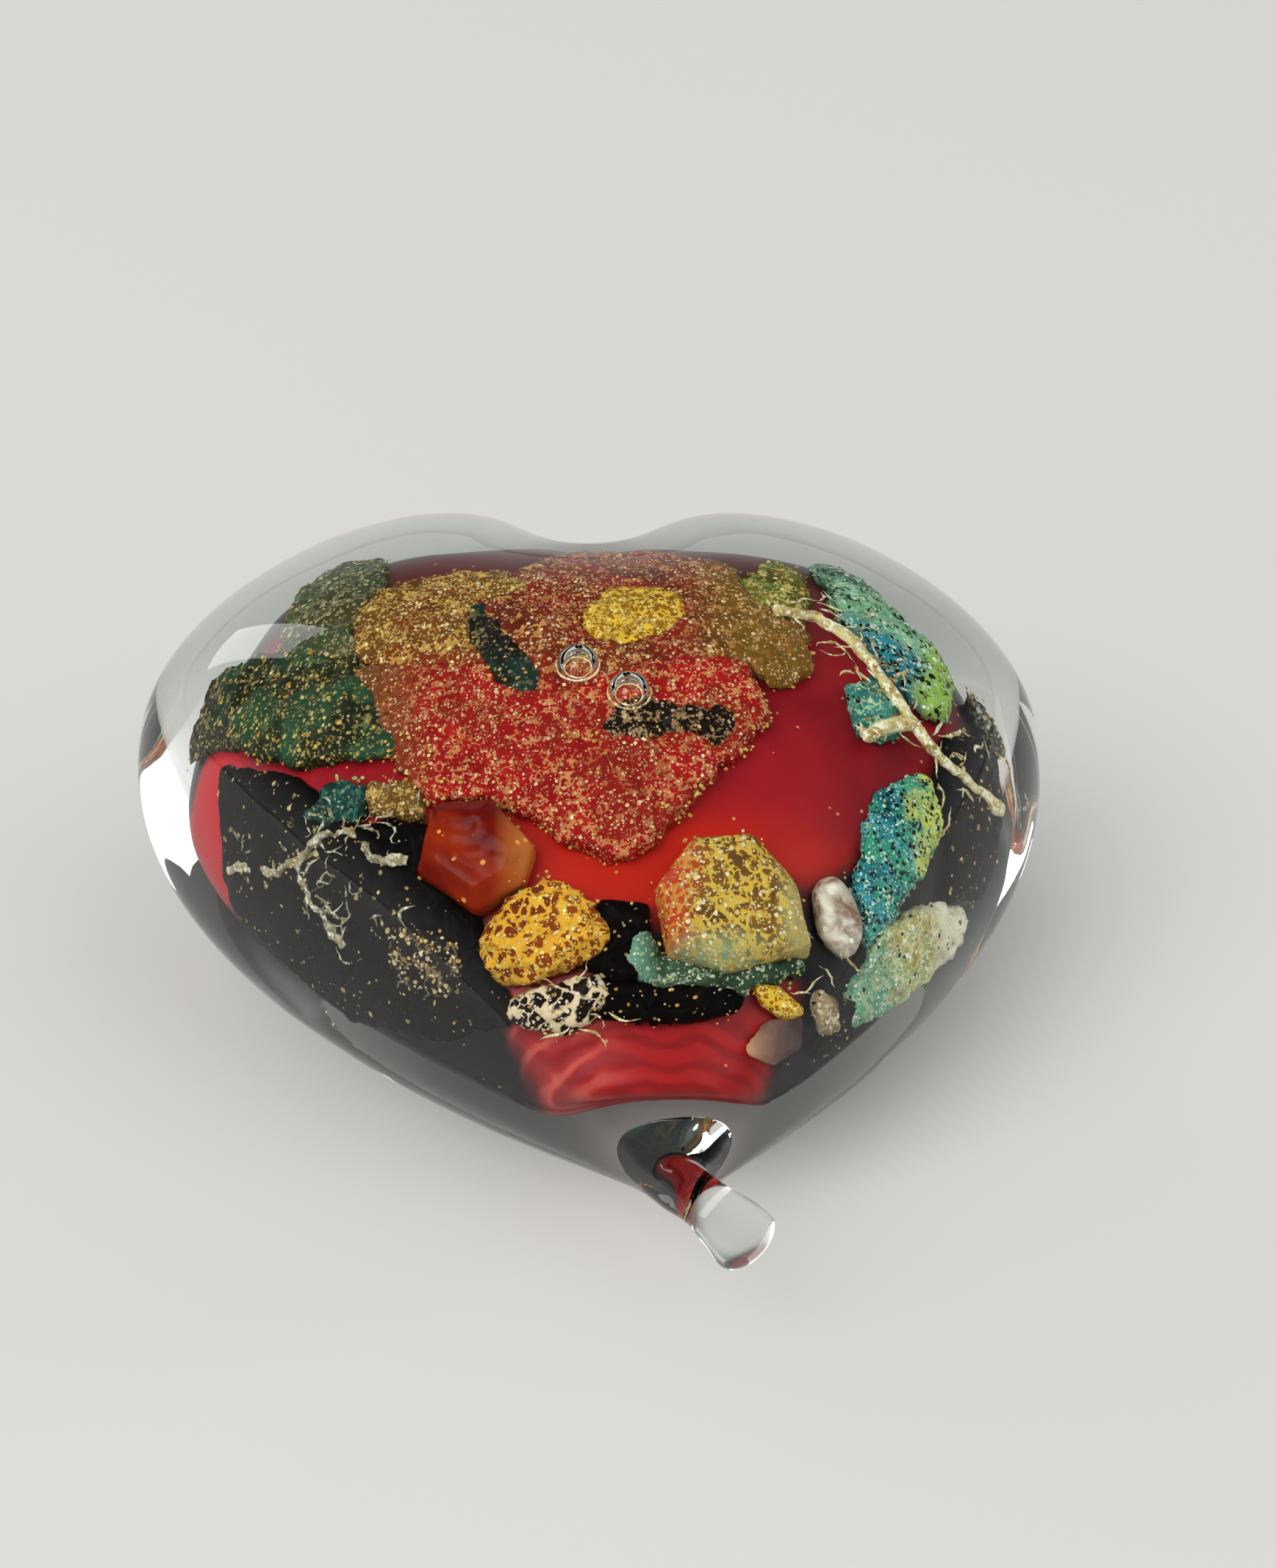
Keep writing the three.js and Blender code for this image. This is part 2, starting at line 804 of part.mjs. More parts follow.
// Ground-off underside: everything below the foot
function grindings() {
  const span = 2 * (casingHeart.lobeReach + casingHeart.tipReach + casingHeart.width);
  const geometry = new THREE.BoxGeometry(span, span, 4 * belly);
  return solidOf(geometry.translate(0, 0, -2 * belly));
}

const group = new THREE.Group();
group.name = 'glass_heart_paperweight';

group.add(meshOf('ruby_core', loftSolid(coreRings), finishes.rubyGlass));

// Each piece is fitted round those laid before it, and leaves its own socket in the casing
const sockets = [];

function layPiece(piece, makeSolid) {
  const fitted = cutAway(makeSolid(piece, 0), [coreSkin, ...sockets]);
  sockets.push(makeSolid(piece, clearance));
  group.add(meshOf(piece.name, fitted, piece.finish));
}

lumps.forEach((piece) => layPiece(piece, lumpSolid));
sheets.forEach((piece) => layPiece(piece, sheetSolid));
threads.forEach((piece) => layPiece(piece, threadSolid));

group.add(meshOf('pontil_plug', pontilPost(0).subtract(coreSkin), finishes.clearGlass));

const casingSurface = heartSurface(casingHeart);
const casingRings = heartRings(casingSurface, neckStation, casingRows, casingColumns);
casingRings.push(...tailRings(casingRings[casingRows]));
const hollows = [coreSkin, ...sockets, ...bubbles.map(bubbleSolid), pontilPost(clearance), grindings()];
group.add(meshOf('clear_casing', cutAway(loftSolid(casingRings), hollows), finishes.clearGlass));

export default group;
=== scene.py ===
"""Dresses the glass heart paperweight: clear casing, ruby core, foil shards, chips, threads and bubbles."""

import logging
import math
from collections.abc import Callable, Iterator
from contextlib import contextmanager
from dataclasses import dataclass
from enum import Enum
from functools import partial

import bpy
import numpy as np
from mathutils import Matrix, Vector
from mathutils.bvhtree import BVHTree


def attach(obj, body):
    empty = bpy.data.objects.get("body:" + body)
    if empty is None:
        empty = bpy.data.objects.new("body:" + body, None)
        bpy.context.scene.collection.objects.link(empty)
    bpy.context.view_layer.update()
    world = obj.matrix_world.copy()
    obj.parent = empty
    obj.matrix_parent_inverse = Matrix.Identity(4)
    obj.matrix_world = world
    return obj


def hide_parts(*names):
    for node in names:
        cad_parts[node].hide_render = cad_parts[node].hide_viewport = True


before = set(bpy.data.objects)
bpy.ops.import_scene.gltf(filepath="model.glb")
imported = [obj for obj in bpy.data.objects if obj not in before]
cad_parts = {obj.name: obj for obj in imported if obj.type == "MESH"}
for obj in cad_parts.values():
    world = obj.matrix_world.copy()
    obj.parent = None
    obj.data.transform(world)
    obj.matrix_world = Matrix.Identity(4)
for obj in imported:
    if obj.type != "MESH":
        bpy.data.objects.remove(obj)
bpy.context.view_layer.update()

LOG = logging.getLogger("glass_heart")
MM = 0.001
BODY = "root"
PHOTO_WIDTH = 1736
PHOTO_HEIGHT = 2133

Piece = bpy.types.Object
Material = bpy.types.Material
Socket = bpy.types.NodeSocket
Outputs = bpy.types.NodeOutputs
AddNode = Callable[..., Outputs]
Colour = tuple[float, float, float, float]
Span = tuple[float, float]
Ring = list[Vector]


def linear(hex_colour: str) -> Colour:
    """Turns an sRGB hex colour into linear values.

    Args:
        hex_colour: A colour such as "#A01020".

    Returns:
        Linear red, green and blue, with an alpha of 1.
    """
    shares = [int(hex_colour[start:start + 2], 16) / 255 for start in (1, 3, 5)]
    red, green, blue = (s / 12.92 if s <= 0.04045 else ((s + 0.055) / 1.055) ** 2.4 for s in shares)
    return red, green, blue, 1.0


def per_metre(millimetres: float) -> float:
    """Gives the texture scale at which one cell of a pattern is that many millimetres."""
    return 1.0 / (millimetres * MM)


def smooth(share: float) -> float:
    """Eases a share from 0 to 1, and holds it outside that range."""
    share = min(1.0, max(0.0, share))
    return share * share * (3.0 - 2.0 * share)


def blend(start: float, end: float, share: float) -> float:
    """Gives the value at a share of the way from start to end."""
    return start + (end - start) * share


def add_node(tree: bpy.types.NodeTree, kind: str, inputs: dict | None = None, **settings: object) -> Outputs:
    """Adds a shader node with its settings, constants and links.

    Args:
        tree: The node tree that the node goes into.
        kind: The node's type name, without its prefix.
        inputs: Input names or numbers, each with a constant or with the socket that feeds it.
        settings: The node's own properties.

    Returns:
        The node's outputs.
    """
    node = tree.nodes.new(f"ShaderNode{kind}")
    for name, value in settings.items():
        setattr(node, name, value)
    for name, value in (inputs or {}).items():
        if isinstance(value, Socket):
            tree.links.new(value, node.inputs[name])
        else:
            node.inputs[name].default_value = value
    return node.outputs


def new_material(name: str) -> tuple[Material, AddNode]:
    """Starts an empty node material.

    Args:
        name: The material's name.

    Returns:
        The material, and what adds a node to it.
    """
    material = bpy.data.materials.new(name)
    material.use_nodes = True
    material.node_tree.nodes.clear()
    return material, partial(add_node, material.node_tree)


def select_only(piece: Piece) -> None:
    """Makes one piece the only selected one, and the active one.

    Args:
        piece: The piece to select.
    """
    bpy.ops.object.select_all(action="DESELECT")
    piece.select_set(True)
    bpy.context.view_layer.objects.active = piece


@contextmanager
def edit_mode(piece: Piece) -> Iterator[None]:
    """Opens a piece in edit mode with all of it selected, and closes it again.

    Args:
        piece: The piece that the mesh operators act on.

    Yields:
        Nothing.
    """
    select_only(piece)
    bpy.ops.object.mode_set(mode="EDIT")
    bpy.ops.mesh.select_all(action="SELECT")
    yield
    bpy.ops.object.mode_set(mode="OBJECT")


def apply_modifiers(piece: Piece) -> None:
    """Applies all the modifiers of a piece, in order.

    Args:
        piece: The piece with its modifiers.
    """
    select_only(piece)
    for name in [modifier.name for modifier in piece.modifiers]:
        bpy.ops.object.modifier_apply(modifier=name)


def add_primitive(name: str, operator: Callable[..., object], **sizes: object) -> Piece:
    """Adds a primitive as the only selected piece, with its faces in a set order so that each run is alike.

    Args:
        name: The piece's name.
        operator: The operator that adds the primitive.
        sizes: The operator's settings.

    Returns:
        The new piece.
    """
    bpy.ops.object.select_all(action="DESELECT")
    operator(**sizes)
    piece = bpy.context.object
    piece.name = name
    points = [vertex.co.copy() for vertex in piece.data.vertices]
    faces = sorted(tuple(polygon.vertices) for polygon in piece.data.polygons)
    piece.data.clear_geometry()
    piece.data.from_pydata(points, [], faces)
    return piece


def place_new(name: str, data: bpy.types.ID) -> Piece:
    """Puts a mesh, a lamp or a camera into the scene.

    Args:
        name: The new object's name.
        data: What the object holds.

    Returns:
        The new object.
    """
    piece = bpy.data.objects.new(name, data)
    bpy.context.scene.collection.objects.link(piece)
    return piece


def surface_of(mesh: bpy.types.Mesh) -> BVHTree:
    """Gives a mesh in a form that finds its nearest place."""
    return BVHTree.FromPolygons([v.co for v in mesh.vertices], [p.vertices for p in mesh.polygons])


def ring_round(middle: Vector, heading: Vector, right: Vector, radius: float, count: int) -> Ring:
    """Gives a circle of points round a line.

    Args:
        middle: The circle's centre.
        heading: The line's direction.
        right: The direction of the first point, square to the line.
        radius: The circle's radius.
        count: The number of points.

    Returns:
        The points in order.
    """
    above = heading.cross(right)
    turns = [math.tau * step / count for step in range(count)]
    return [middle + radius * (right * math.cos(turn) + above * math.sin(turn)) for turn in turns]


def hand_over(piece: Piece, slot: str, material: Material, *nodes: str) -> None:
    """Gives a finished piece its material and its body, hides the nodes that it stands for, and logs it.

    Args:
        piece: The finished piece.
        slot: The material slot of the record. Not used.
        material: The piece's material.
        nodes: The nodes that the piece stands for, if any.
    """
    piece.data.materials.clear()
    piece.data.materials.append(material)
    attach(piece, BODY)
    if nodes:
        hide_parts(*nodes)
    faces = len(piece.data.polygons)
    LOG.info("%s: %d faces, stands for %s", piece.name, faces, ", ".join(nodes) or "no node")


class Axis(Enum):
    """An axis of the object, by the name of its output on a node that separates a vector."""

    RIGHT = "X"
    BACK = "Y"


class Pattern(Enum):
    """The pattern of a relief."""

    CLOUDS = "CLOUDS"
    PITS = "VORONOI"


@dataclass(frozen=True)
class Relief:
    """One pass of roughening, with the size and the height of a bump in millimetres."""

    pattern: Pattern
    size: float
    height: float
    frays: bool = True

    def apply(self, piece: Piece) -> None:
        """Roughens a piece as real relief, in all directions where it frays and outwards elsewhere.

        Args:
            piece: The piece to roughen.
        """
        texture = bpy.data.textures.new(f"{piece.name}_{self.pattern.name.lower()}", self.pattern.value)
        texture.noise_scale = self.size * MM
        if self.frays and self.pattern is Pattern.CLOUDS:
            texture.cloud_type = "COLOR"
        modifier = piece.modifiers.new("Relief", "DISPLACE")
        modifier.texture = texture
        modifier.texture_coords = "LOCAL"
        modifier.direction = "RGB_TO_XYZ" if self.frays else "NORMAL"
        modifier.strength = self.height * MM
        modifier.mid_level = 0.5
        apply_modifiers(piece)


@dataclass(frozen=True)
class Working:
    """How a kind of piece is worked: face size and swell in millimetres, rounds of softening, and reliefs."""

    voxel: float
    rounds: int
    swell: float
    reliefs: tuple[Relief, ...]
    settled: bool = False


class Shape(Enum):
    """How an inclusion was laid on the core, with how it is worked."""

    SHEET = Working(0.3, 5, 0.55, (Relief(Pattern.CLOUDS, 2.4, 1.5), Relief(Pattern.CLOUDS, 0.9, 0.8)), True)
    PANE = Working(0.3, 5, 0.55, (Relief(Pattern.CLOUDS, 2.4, 1.2),), True)
    LUMP = Working(0.3, 4, 0.35, (Relief(Pattern.PITS, 1.1, 0.7, False), Relief(Pattern.CLOUDS, 2.0, 0.8)))
    CHIP = Working(0.3, 2, 0.3, (Relief(Pattern.CLOUDS, 3.0, 0.4),))
    VEIN = Working(0.18, 3, 0.2, (Relief(Pattern.CLOUDS, 1.8, 0.7),))
    THREAD = Working(
        0.18, 3, -0.05, (Relief(Pattern.CLOUDS, 1.8, 1.4), Relief(Pattern.CLOUDS, 1.0, 0.7, False)),
    )


@dataclass(frozen=True)
class HeartForm:
    """Guide sizes of a glass heart in millimetres, with the curves that turn them into a surface."""

    width: float
    bottom: float
    top: float
    lobe_reach: float
    lobe_spread: float
    lobe_crown: float
    cleft_reach: float
    cleft_height: float
    widest_reach: float
    girth_height: float
    apex_reach: float
    keel_reach: float
    tip_reach: float
    tip_swing: float
    tip_height: float
    crest_station: float = 0.2
    side_station: float = 0.45
    crown_end: float = 0.7
    crest_round: float = 0.48
    side_round: float = 0.4
    flank_round: float = 0.42
    point_round: float = 0.15
    cleft_flare: float = 0.2
    cleft_steep: float = 0.62
    back_lean: float = 0.35
    rise_round: float = 0.62
    sink_round: float = 0.4
    ridge_round: float = 0.46
    nose_round: float = 0.24
    chin_round: float = 0.45
    section_power: float = 0.9
    girth_fall: float = 1.2
    probe: float = 0.01

    @staticmethod
    def curve_point(points: list[Span], share: float) -> Span:
        """Gives a point on a cubic curve.

        Args:
            points: The curve's four guide points.
            share: The share of the way along the curve.

        Returns:
            The point.
        """
        rest = 1.0 - share
        weights = (rest**3, 3 * rest**2 * share, 3 * rest * share**2, share**3)
        return tuple(sum(w * p[axis] for w, p in zip(weights, points)) for axis in (0, 1))

    def outline(self, along: float) -> Span:
        """Gives the half outline in plan.

        Args:
            along: Station from 0 at the cleft to 1 at the tip.

        Returns:
            Half the width, and the reach.
        """
        half = self.width / 2
        cleft = (0.0, self.cleft_reach)
        crest = (self.lobe_spread, self.lobe_reach)
        side = (half, self.widest_reach)
        tip = (0.0, -self.tip_reach)
        if along <= self.crest_station:
            rise = (crest[0] * self.cleft_flare, blend(cleft[1], crest[1], self.cleft_steep))
            points = [cleft, rise, (crest[0] * (1 - self.crest_round), crest[1]), crest]
            return self.curve_point(points, along / self.crest_station)
        if along <= self.side_station:
            over = (blend(crest[0], half, self.crest_round), crest[1])
            points = [crest, over, (half, blend(side[1], crest[1], self.side_round)), side]
            share = (along - self.crest_station) / (self.side_station - self.crest_station)
            return self.curve_point(points, share)
        flank = (half, blend(side[1], tip[1], self.flank_round))
        points = [side, flank, (half * self.point_round, blend(tip[1], side[1], self.point_round)), tip]
        return self.curve_point(points, (along - self.side_station) / (1 - self.side_station))

    def profile(self, along: float, rises: bool) -> Span:
        """Gives the middle line of the top or of the underside.

        Args:
            along: Station from 0 at the cleft to 1 at the tip.
            rises: True for the top.

        Returns:
            The line's reach and height.
        """
        reach, height = (self.apex_reach, self.top) if rises else (self.keel_reach, self.bottom)
        leave = self.rise_round if rises else self.sink_round
        arrive = self.nose_round if rises else self.chin_round
        cleft = (self.cleft_reach, self.cleft_height)
        tip = (-self.tip_reach, self.tip_height)
        middle = (reach, height)
        if along <= self.side_station:
            lean = cleft[0] + self.back_lean * (self.lobe_reach - self.cleft_reach)
            lower = (lean, blend(cleft[1], height, leave))
            points = [cleft, lower, (blend(reach, cleft[0], self.ridge_round), height), middle]
            return self.curve_point(points, along / self.side_station)
        over = (blend(reach, tip[0], self.ridge_round), height)
        points = [middle, over, (blend(tip[0], reach, self.nose_round), blend(tip[1], height, arrive)), tip]
        return self.curve_point(points, (along - self.side_station) / (1 - self.side_station))

    def point(self, along: float, angle: float) -> Vector:
        """Gives the surface at a station and an angle round the middle line.

        Args:
            along: Station from 0 at the cleft to 1 at the tip.
            angle: Angle in radians, 0 at the right and a quarter turn at the top.

        Returns:
            The point in metres.
        """
        half, reach = self.outline(along)
        rises = math.sin(angle) >= 0
        middle_reach, middle_height = self.profile(along, rises)
        swing = self.tip_swing * smooth((along - self.side_station) / (1 - self.side_station))
        fall = (self.widest_reach - reach) / (self.widest_reach + self.tip_reach)
        fall = min(1.0, max(0.0, fall)) ** self.girth_fall
        girth = blend(self.girth_height, self.tip_height, fall)
        girth = blend(self.cleft_height, girth, smooth(along / self.crest_station))
        across, up = math.cos(angle), math.sin(angle)
        fade = (along - self.crest_station) / (self.crown_end - self.crest_station)
        fade = (1 - min(1.0, max(0.0, fade))) ** 2
        crown = self.lobe_crown * smooth(along / self.crest_station) * fade * math.sin(2 * angle) ** 2
        return MM * Vector((
            swing + half * math.copysign(abs(across) ** self.section_power, across),
            reach * across**2 + middle_reach * up**2,
            girth + (middle_height - girth) * abs(up) ** self.section_power + (crown if rises else 0.0),
        ))

    def outward(self, along: float, angle: float) -> Vector:
        """Gives the direction that the surface faces.

        Args:
            along: Station from 0 at the cleft to 1 at the tip.
            angle: Angle in radians, as for a point.

        Returns:
            The outward direction.
        """
        across = self.point(along, angle + self.probe) - self.point(along, angle - self.probe)
        onward = self.point(along + self.probe, angle) - self.point(along - self.probe, angle)
        return across.cross(onward).normalized()

    def rings(self, last: float, rows: int, columns: int) -> list[Ring]:
        """Gives rings of points round the heart, from the cleft to the last station."""
        turns = [math.tau * column / columns for column in range(columns)]
        return [[self.point(last * row / rows, turn) for turn in turns] for row in range(rows + 1)]


def mesh_from_sphere(name: str, rings: list[Ring]) -> Piece:
    """Shapes a sphere into a closed form that passes through rings of points.

    Args:
        name: The piece's name.
        rings: Rings from one end to the other, where the first and the last ring are single points.

    Returns:
        The new piece, at the origin.
    """
    rows, columns = len(rings) - 1, len(rings[0])
    sphere = bpy.ops.mesh.primitive_uv_sphere_add
    piece = add_primitive(name, sphere, segments=columns, ring_count=rows, radius=1.0)
    for vertex in piece.data.vertices:
        place = vertex.co.normalized()
        row = round((1 - math.acos(max(-1.0, min(1.0, place.z))) / math.pi) * rows)
        column = round(math.atan2(place.y, place.x) / math.tau * columns) % columns
        vertex.co = rings[row][column]
    with edit_mode(piece):
        bpy.ops.mesh.remove_doubles(threshold=0.01 * MM)
        bpy.ops.mesh.normals_make_consistent(inside=False)
    return piece


CASING_FORM = HeartForm(
    width=90, bottom=-3, top=45, lobe_reach=42.5, lobe_spread=18.5, lobe_crown=3, cleft_reach=31,
    cleft_height=24.5, widest_reach=13, girth_height=19.5, apex_reach=2, keel_reach=4, tip_reach=43.5,
    tip_swing=8.5, tip_height=9.5,
)
CORE_FORM = HeartForm(
    width=68, bottom=6, top=34, lobe_reach=27, lobe_spread=15, lobe_crown=1, cleft_reach=24,
    cleft_height=20, widest_reach=8, girth_height=18, apex_reach=2, keel_reach=3, tip_reach=38,
    tip_swing=7.5, tip_height=10.5,
)


@dataclass(frozen=True)
class ClearGlass:
    """Lead-free crystal, fire-polished: a bright skin that bends what lies under it, faintly grey-green."""

    name: str = "crystal_fire_polished"
    tint: str = "#F6FAF8"
    ior: float = 1.5
    roughness: float = 0.0
    lamp_share: str = "#F2F4F3"

    def material(self) -> Material:
        """Makes the glass. Lamps and soft bounced light pass straight through and light what is inside.

        Returns:
            The material.
        """
        material, add = new_material(self.name)
        glass = add("BsdfPrincipled", {
            "Base Color": linear(self.tint), "Roughness": self.roughness, "IOR": self.ior,
            "Transmission Weight": 1.0,
        })[0]
        clear = add("BsdfTransparent", {"Color": linear(self.lamp_share)})[0]
        path = add("LightPath")
        lit = add("Math", {0: path["Is Shadow Ray"], 1: path["Is Diffuse Ray"]}, operation="MAXIMUM")[0]
        add("OutputMaterial", {"Surface": add("MixShader", {0: lit, 1: glass, 2: clear})[0]})
        return material


@dataclass(frozen=True)
class BubbleAir:
    """Air shut in the glass: the same skin the other way round, with a mirroring edge and a clear middle."""

    name: str = "air_in_crystal"
    tint: str = "#FFFFFF"
    ior: float = 1 / 1.5

    def material(self) -> Material:
        """Makes the bubble's wall.

        Returns:
            The material.
        """
        material, add = new_material(self.name)
        wall = add("BsdfGlass", {"Color": linear(self.tint), "Roughness": 0.0, "IOR": self.ior})[0]
        clear = add("BsdfTransparent", {"Color": linear(self.tint)})[0]
        shadow = add("LightPath")["Is Shadow Ray"]
        add("OutputMaterial", {"Surface": add("MixShader", {0: shadow, 1: wall, 2: clear})[0]})
        return material


def stray_grains(add: AddNode, place: Socket, spacing: float, radius: float, cover: float | Socket) -> Socket:
    """Strews single round grains.

    Args:
        add: Adds a node to the material.
        place: Place on the piece.
        spacing: Distance between grains in millimetres.
        radius: A grain's radius, as a share of the spacing.
        cover: Share of the places that hold a grain.

    Returns:
        1 on a grain, and 0 elsewhere.
    """
    cells = add("TexVoronoi", {"Vector": place, "Scale": per_metre(spacing)})
    near = add("Math", {0: cells["Distance"], 1: radius}, operation="LESS_THAN")[0]
    chance = add("SeparateColor", {0: cells["Color"]})[0]
    held = add("Math", {0: chance, 1: cover}, operation="LESS_THAN")[0]
    return add("Math", {0: near, 1: held}, operation="MULTIPLY")[0]


@dataclass(frozen=True)
class RubyGlass:
    """Selenium ruby glass over black, gathered and marvered: red crown and point, black flanks, specks, and
    painted ridge shading on the point.
    """

    name: str = "selenium_ruby_gather"
    tones: tuple[tuple[float, str], ...] = ((0.32, "#7E0E1A"), (0.68, "#C62212"), (0.5, "#A01320"))
    # ridge_painted_highlight is a painted highlight on the point's ridge crests at its left;
    # ridge_painted_shade is painted shade in the troughs
    ridge_painted_highlight: str = "#E87868"
    ridge_painted_shade: str = "#4A0810"
    rear: str = "#5A120E"
    front: str = "#BE1E0C"
    cone: str = "#A61A1C"
    strip: str = "#C41020"
    black: str = "#070304"
    grain: str = "#C79A5A"
    drift_mm: float = 16.0
    swirl: float = 0.6
    wander_mm: float = 6.0
    wander_reach_mm: float = 4.0
    band_mm: float = 0.9
    band_share: float = 0.35
    ridge_highlight_marks: Span = (0.5, 0.95)
    ridge_shade_marks: Span = (0.45, 0.1)
    grain_mm: float = 0.7
    grain_radius: float = 0.22
    grain_cover: float = 0.04
    crown_mm: Span = (23.5, 26.5)
    point_lean: float = 0.5
    point_mm: Span = (-11.5, -14.0)
    point_left_mm: Span = (1.0, 3.5)
    point_right_mm: Span = (10.5, 8.0)
    left_mm: Span = (-30.0, -31.2)
    left_reach_mm: float = 3.5
    left_half_mm: Span = (6.5, 5.0)
    rear_mm: Span = (15.0, 20.0)
    front_mm: Span = (-7.0, -14.0)
    # highlight_side_mm: where the painted ridge highlight fades out, from the point's left side towards its
    # right
    highlight_side_mm: Span = (6.0, -2.0)
    roughness: float = 0.35
    shine: float = 0.25

    def material(self) -> Material:
        """Makes the ruby glass, red where the gather is thin over its light heart and black at its flanks.
        Its point carries painted ridge shading: a painted highlight at its left and painted shade in the
        troughs.

        Returns:
            The material.
        """
        material, add = new_material(self.name)
        place = add("TexCoord")["Object"]
        drift = add("TexNoise", {
            "Vector": place, "Scale": per_metre(self.drift_mm), "Detail": 3.0, "Distortion": self.swirl,
        })[0]
        colour = add("ValToRGB", {0: drift})[0]
        stops = colour.node.color_ramp.elements
        for number, (mark, tint) in enumerate(self.tones):
            stop = stops[number] if number < 2 else stops.new(mark)
            stop.position, stop.color = mark, linear(tint)
        wander = add("TexNoise", {"Vector": place, "Scale": per_metre(self.wander_mm), "Detail": 3.0})
        centred = add("VectorMath", {0: wander["Color"], 1: (0.5, 0.5, 0.5)}, operation="SUBTRACT")[0]
        reach = (self.wander_reach_mm * MM,) * 3
        bent = add("VectorMath", {0: centred, 1: reach, 2: place}, operation="MULTIPLY_ADD")[0]
        right, back, up = add("SeparateXYZ", {0: bent})
        shifted = add("Math", {0: back, 1: self.left_reach_mm * MM}, operation="SUBTRACT")[0]
        across = add("Math", {0: shifted}, operation="ABSOLUTE")[0]
        under, from_left, from_right = (
            add("Math", {0: up, 1: lean, 2: axis}, operation="MULTIPLY_ADD")[0]
            for axis, lean in ((back, self.point_lean), (right, self.point_lean), (right, -self.point_lean))
        )
        crown, point, right_of, left_of, left, near, rear, front, highlight_side = (
            add("MapRange", {
                "Value": value, "From Min": start * MM, "From Max": end * MM,
            }, interpolation_type="SMOOTHSTEP")[0]
            for value, (start, end) in (
                (up, self.crown_mm), (under, self.point_mm), (from_left, self.point_left_mm),
                (from_right, self.point_right_mm), (right, self.left_mm), (across, self.left_half_mm),
                (back, self.rear_mm), (back, self.front_mm), (right, self.highlight_side_mm),
            )
        )
        strip, between, lit = (
            add("Math", {0: one, 1: other}, operation="MULTIPLY")[0]
            for one, other in ((left, near), (left_of, right_of), (point, highlight_side))
        )
        cone = add("Math", {0: point, 1: between}, operation="MULTIPLY")[0]
        upper = add("Math", {0: crown, 1: cone}, operation="MAXIMUM")[0]
        red = add("Math", {0: upper, 1: strip}, operation="MAXIMUM")[0]
        bands = add("TexWave", {
            "Vector": bent, "Scale": per_metre(self.band_mm) / math.tau, "Distortion": 0.0,
        }, bands_direction="Y")["Fac"]
        layers = [(front, self.front), (point, self.cone), (strip, self.strip)]
        # Painted ridge shading on the point: a painted highlight on the crests at its left, painted shade in
        # the troughs
        for tint, (low, high), where in (
            (self.ridge_painted_highlight, self.ridge_highlight_marks, lit), (self.ridge_painted_shade, self.ridge_shade_marks, point),
        ):
            share = add("MapRange", {
                "Value": bands, "From Min": low, "From Max": high, "To Max": self.band_share,
            })[0]
            layers.append((add("Math", {0: share, 1: where}, operation="MULTIPLY")[0], tint))
        for share, tint in layers + [(rear, self.rear)]:
            colour = add("Mix", {0: share, 6: colour, 7: linear(tint)}, data_type="RGBA")[2]
        colour = add("Mix", {0: red, 6: linear(self.black), 7: colour}, data_type="RGBA")[2]
        grains = stray_grains(add, place, self.grain_mm, self.grain_radius, self.grain_cover)
        colour = add("Mix", {0: grains, 6: colour, 7: linear(self.grain)}, data_type="RGBA")[2]
        skin = add("BsdfPrincipled", {
            "Base Color": colour, "Roughness": self.roughness, "Specular IOR Level": self.shine,
        })[0]
        add("OutputMaterial", {"Surface": skin})
        return material


@dataclass(frozen=True)
class Patch:
    """A second hue that takes over part of a piece, by a broad drift or along an axis, in millimetres."""

    colour: str
    axis: Axis | None = None
    span_mm: Span = (0.0, 0.0)
    drift_mm: float = 5.0
    drift_marks: Span = (0.46, 0.58)
    wave_mm: float = 4.0

    def share(self, add: AddNode, place: Socket) -> Socket:
        """Spreads the hue over the piece, with a wavy border.

        Args:
            add: Adds a node to the material.
            place: Place on the piece.

        Returns:
            How much of the hue each place has.
        """
        broad = add("TexNoise", {"Vector": place, "Scale": per_metre(self.drift_mm), "Detail": 3.0})[0]
        if self.axis is None:
            low, high = self.drift_marks
            return add("MapRange", {"Value": broad, "From Min": low, "From Max": high})[0]
        along = add("SeparateXYZ", {0: place})[self.axis.value]
        wavy = add("Math", {0: broad, 1: self.wave_mm * MM, 2: along}, operation="MULTIPLY_ADD")[0]
        start, end = (mark + self.wave_mm / 2 for mark in self.span_mm)
        return add("MapRange", {"Value": wavy, "From Min": start * MM, "From Max": end * MM})[0]


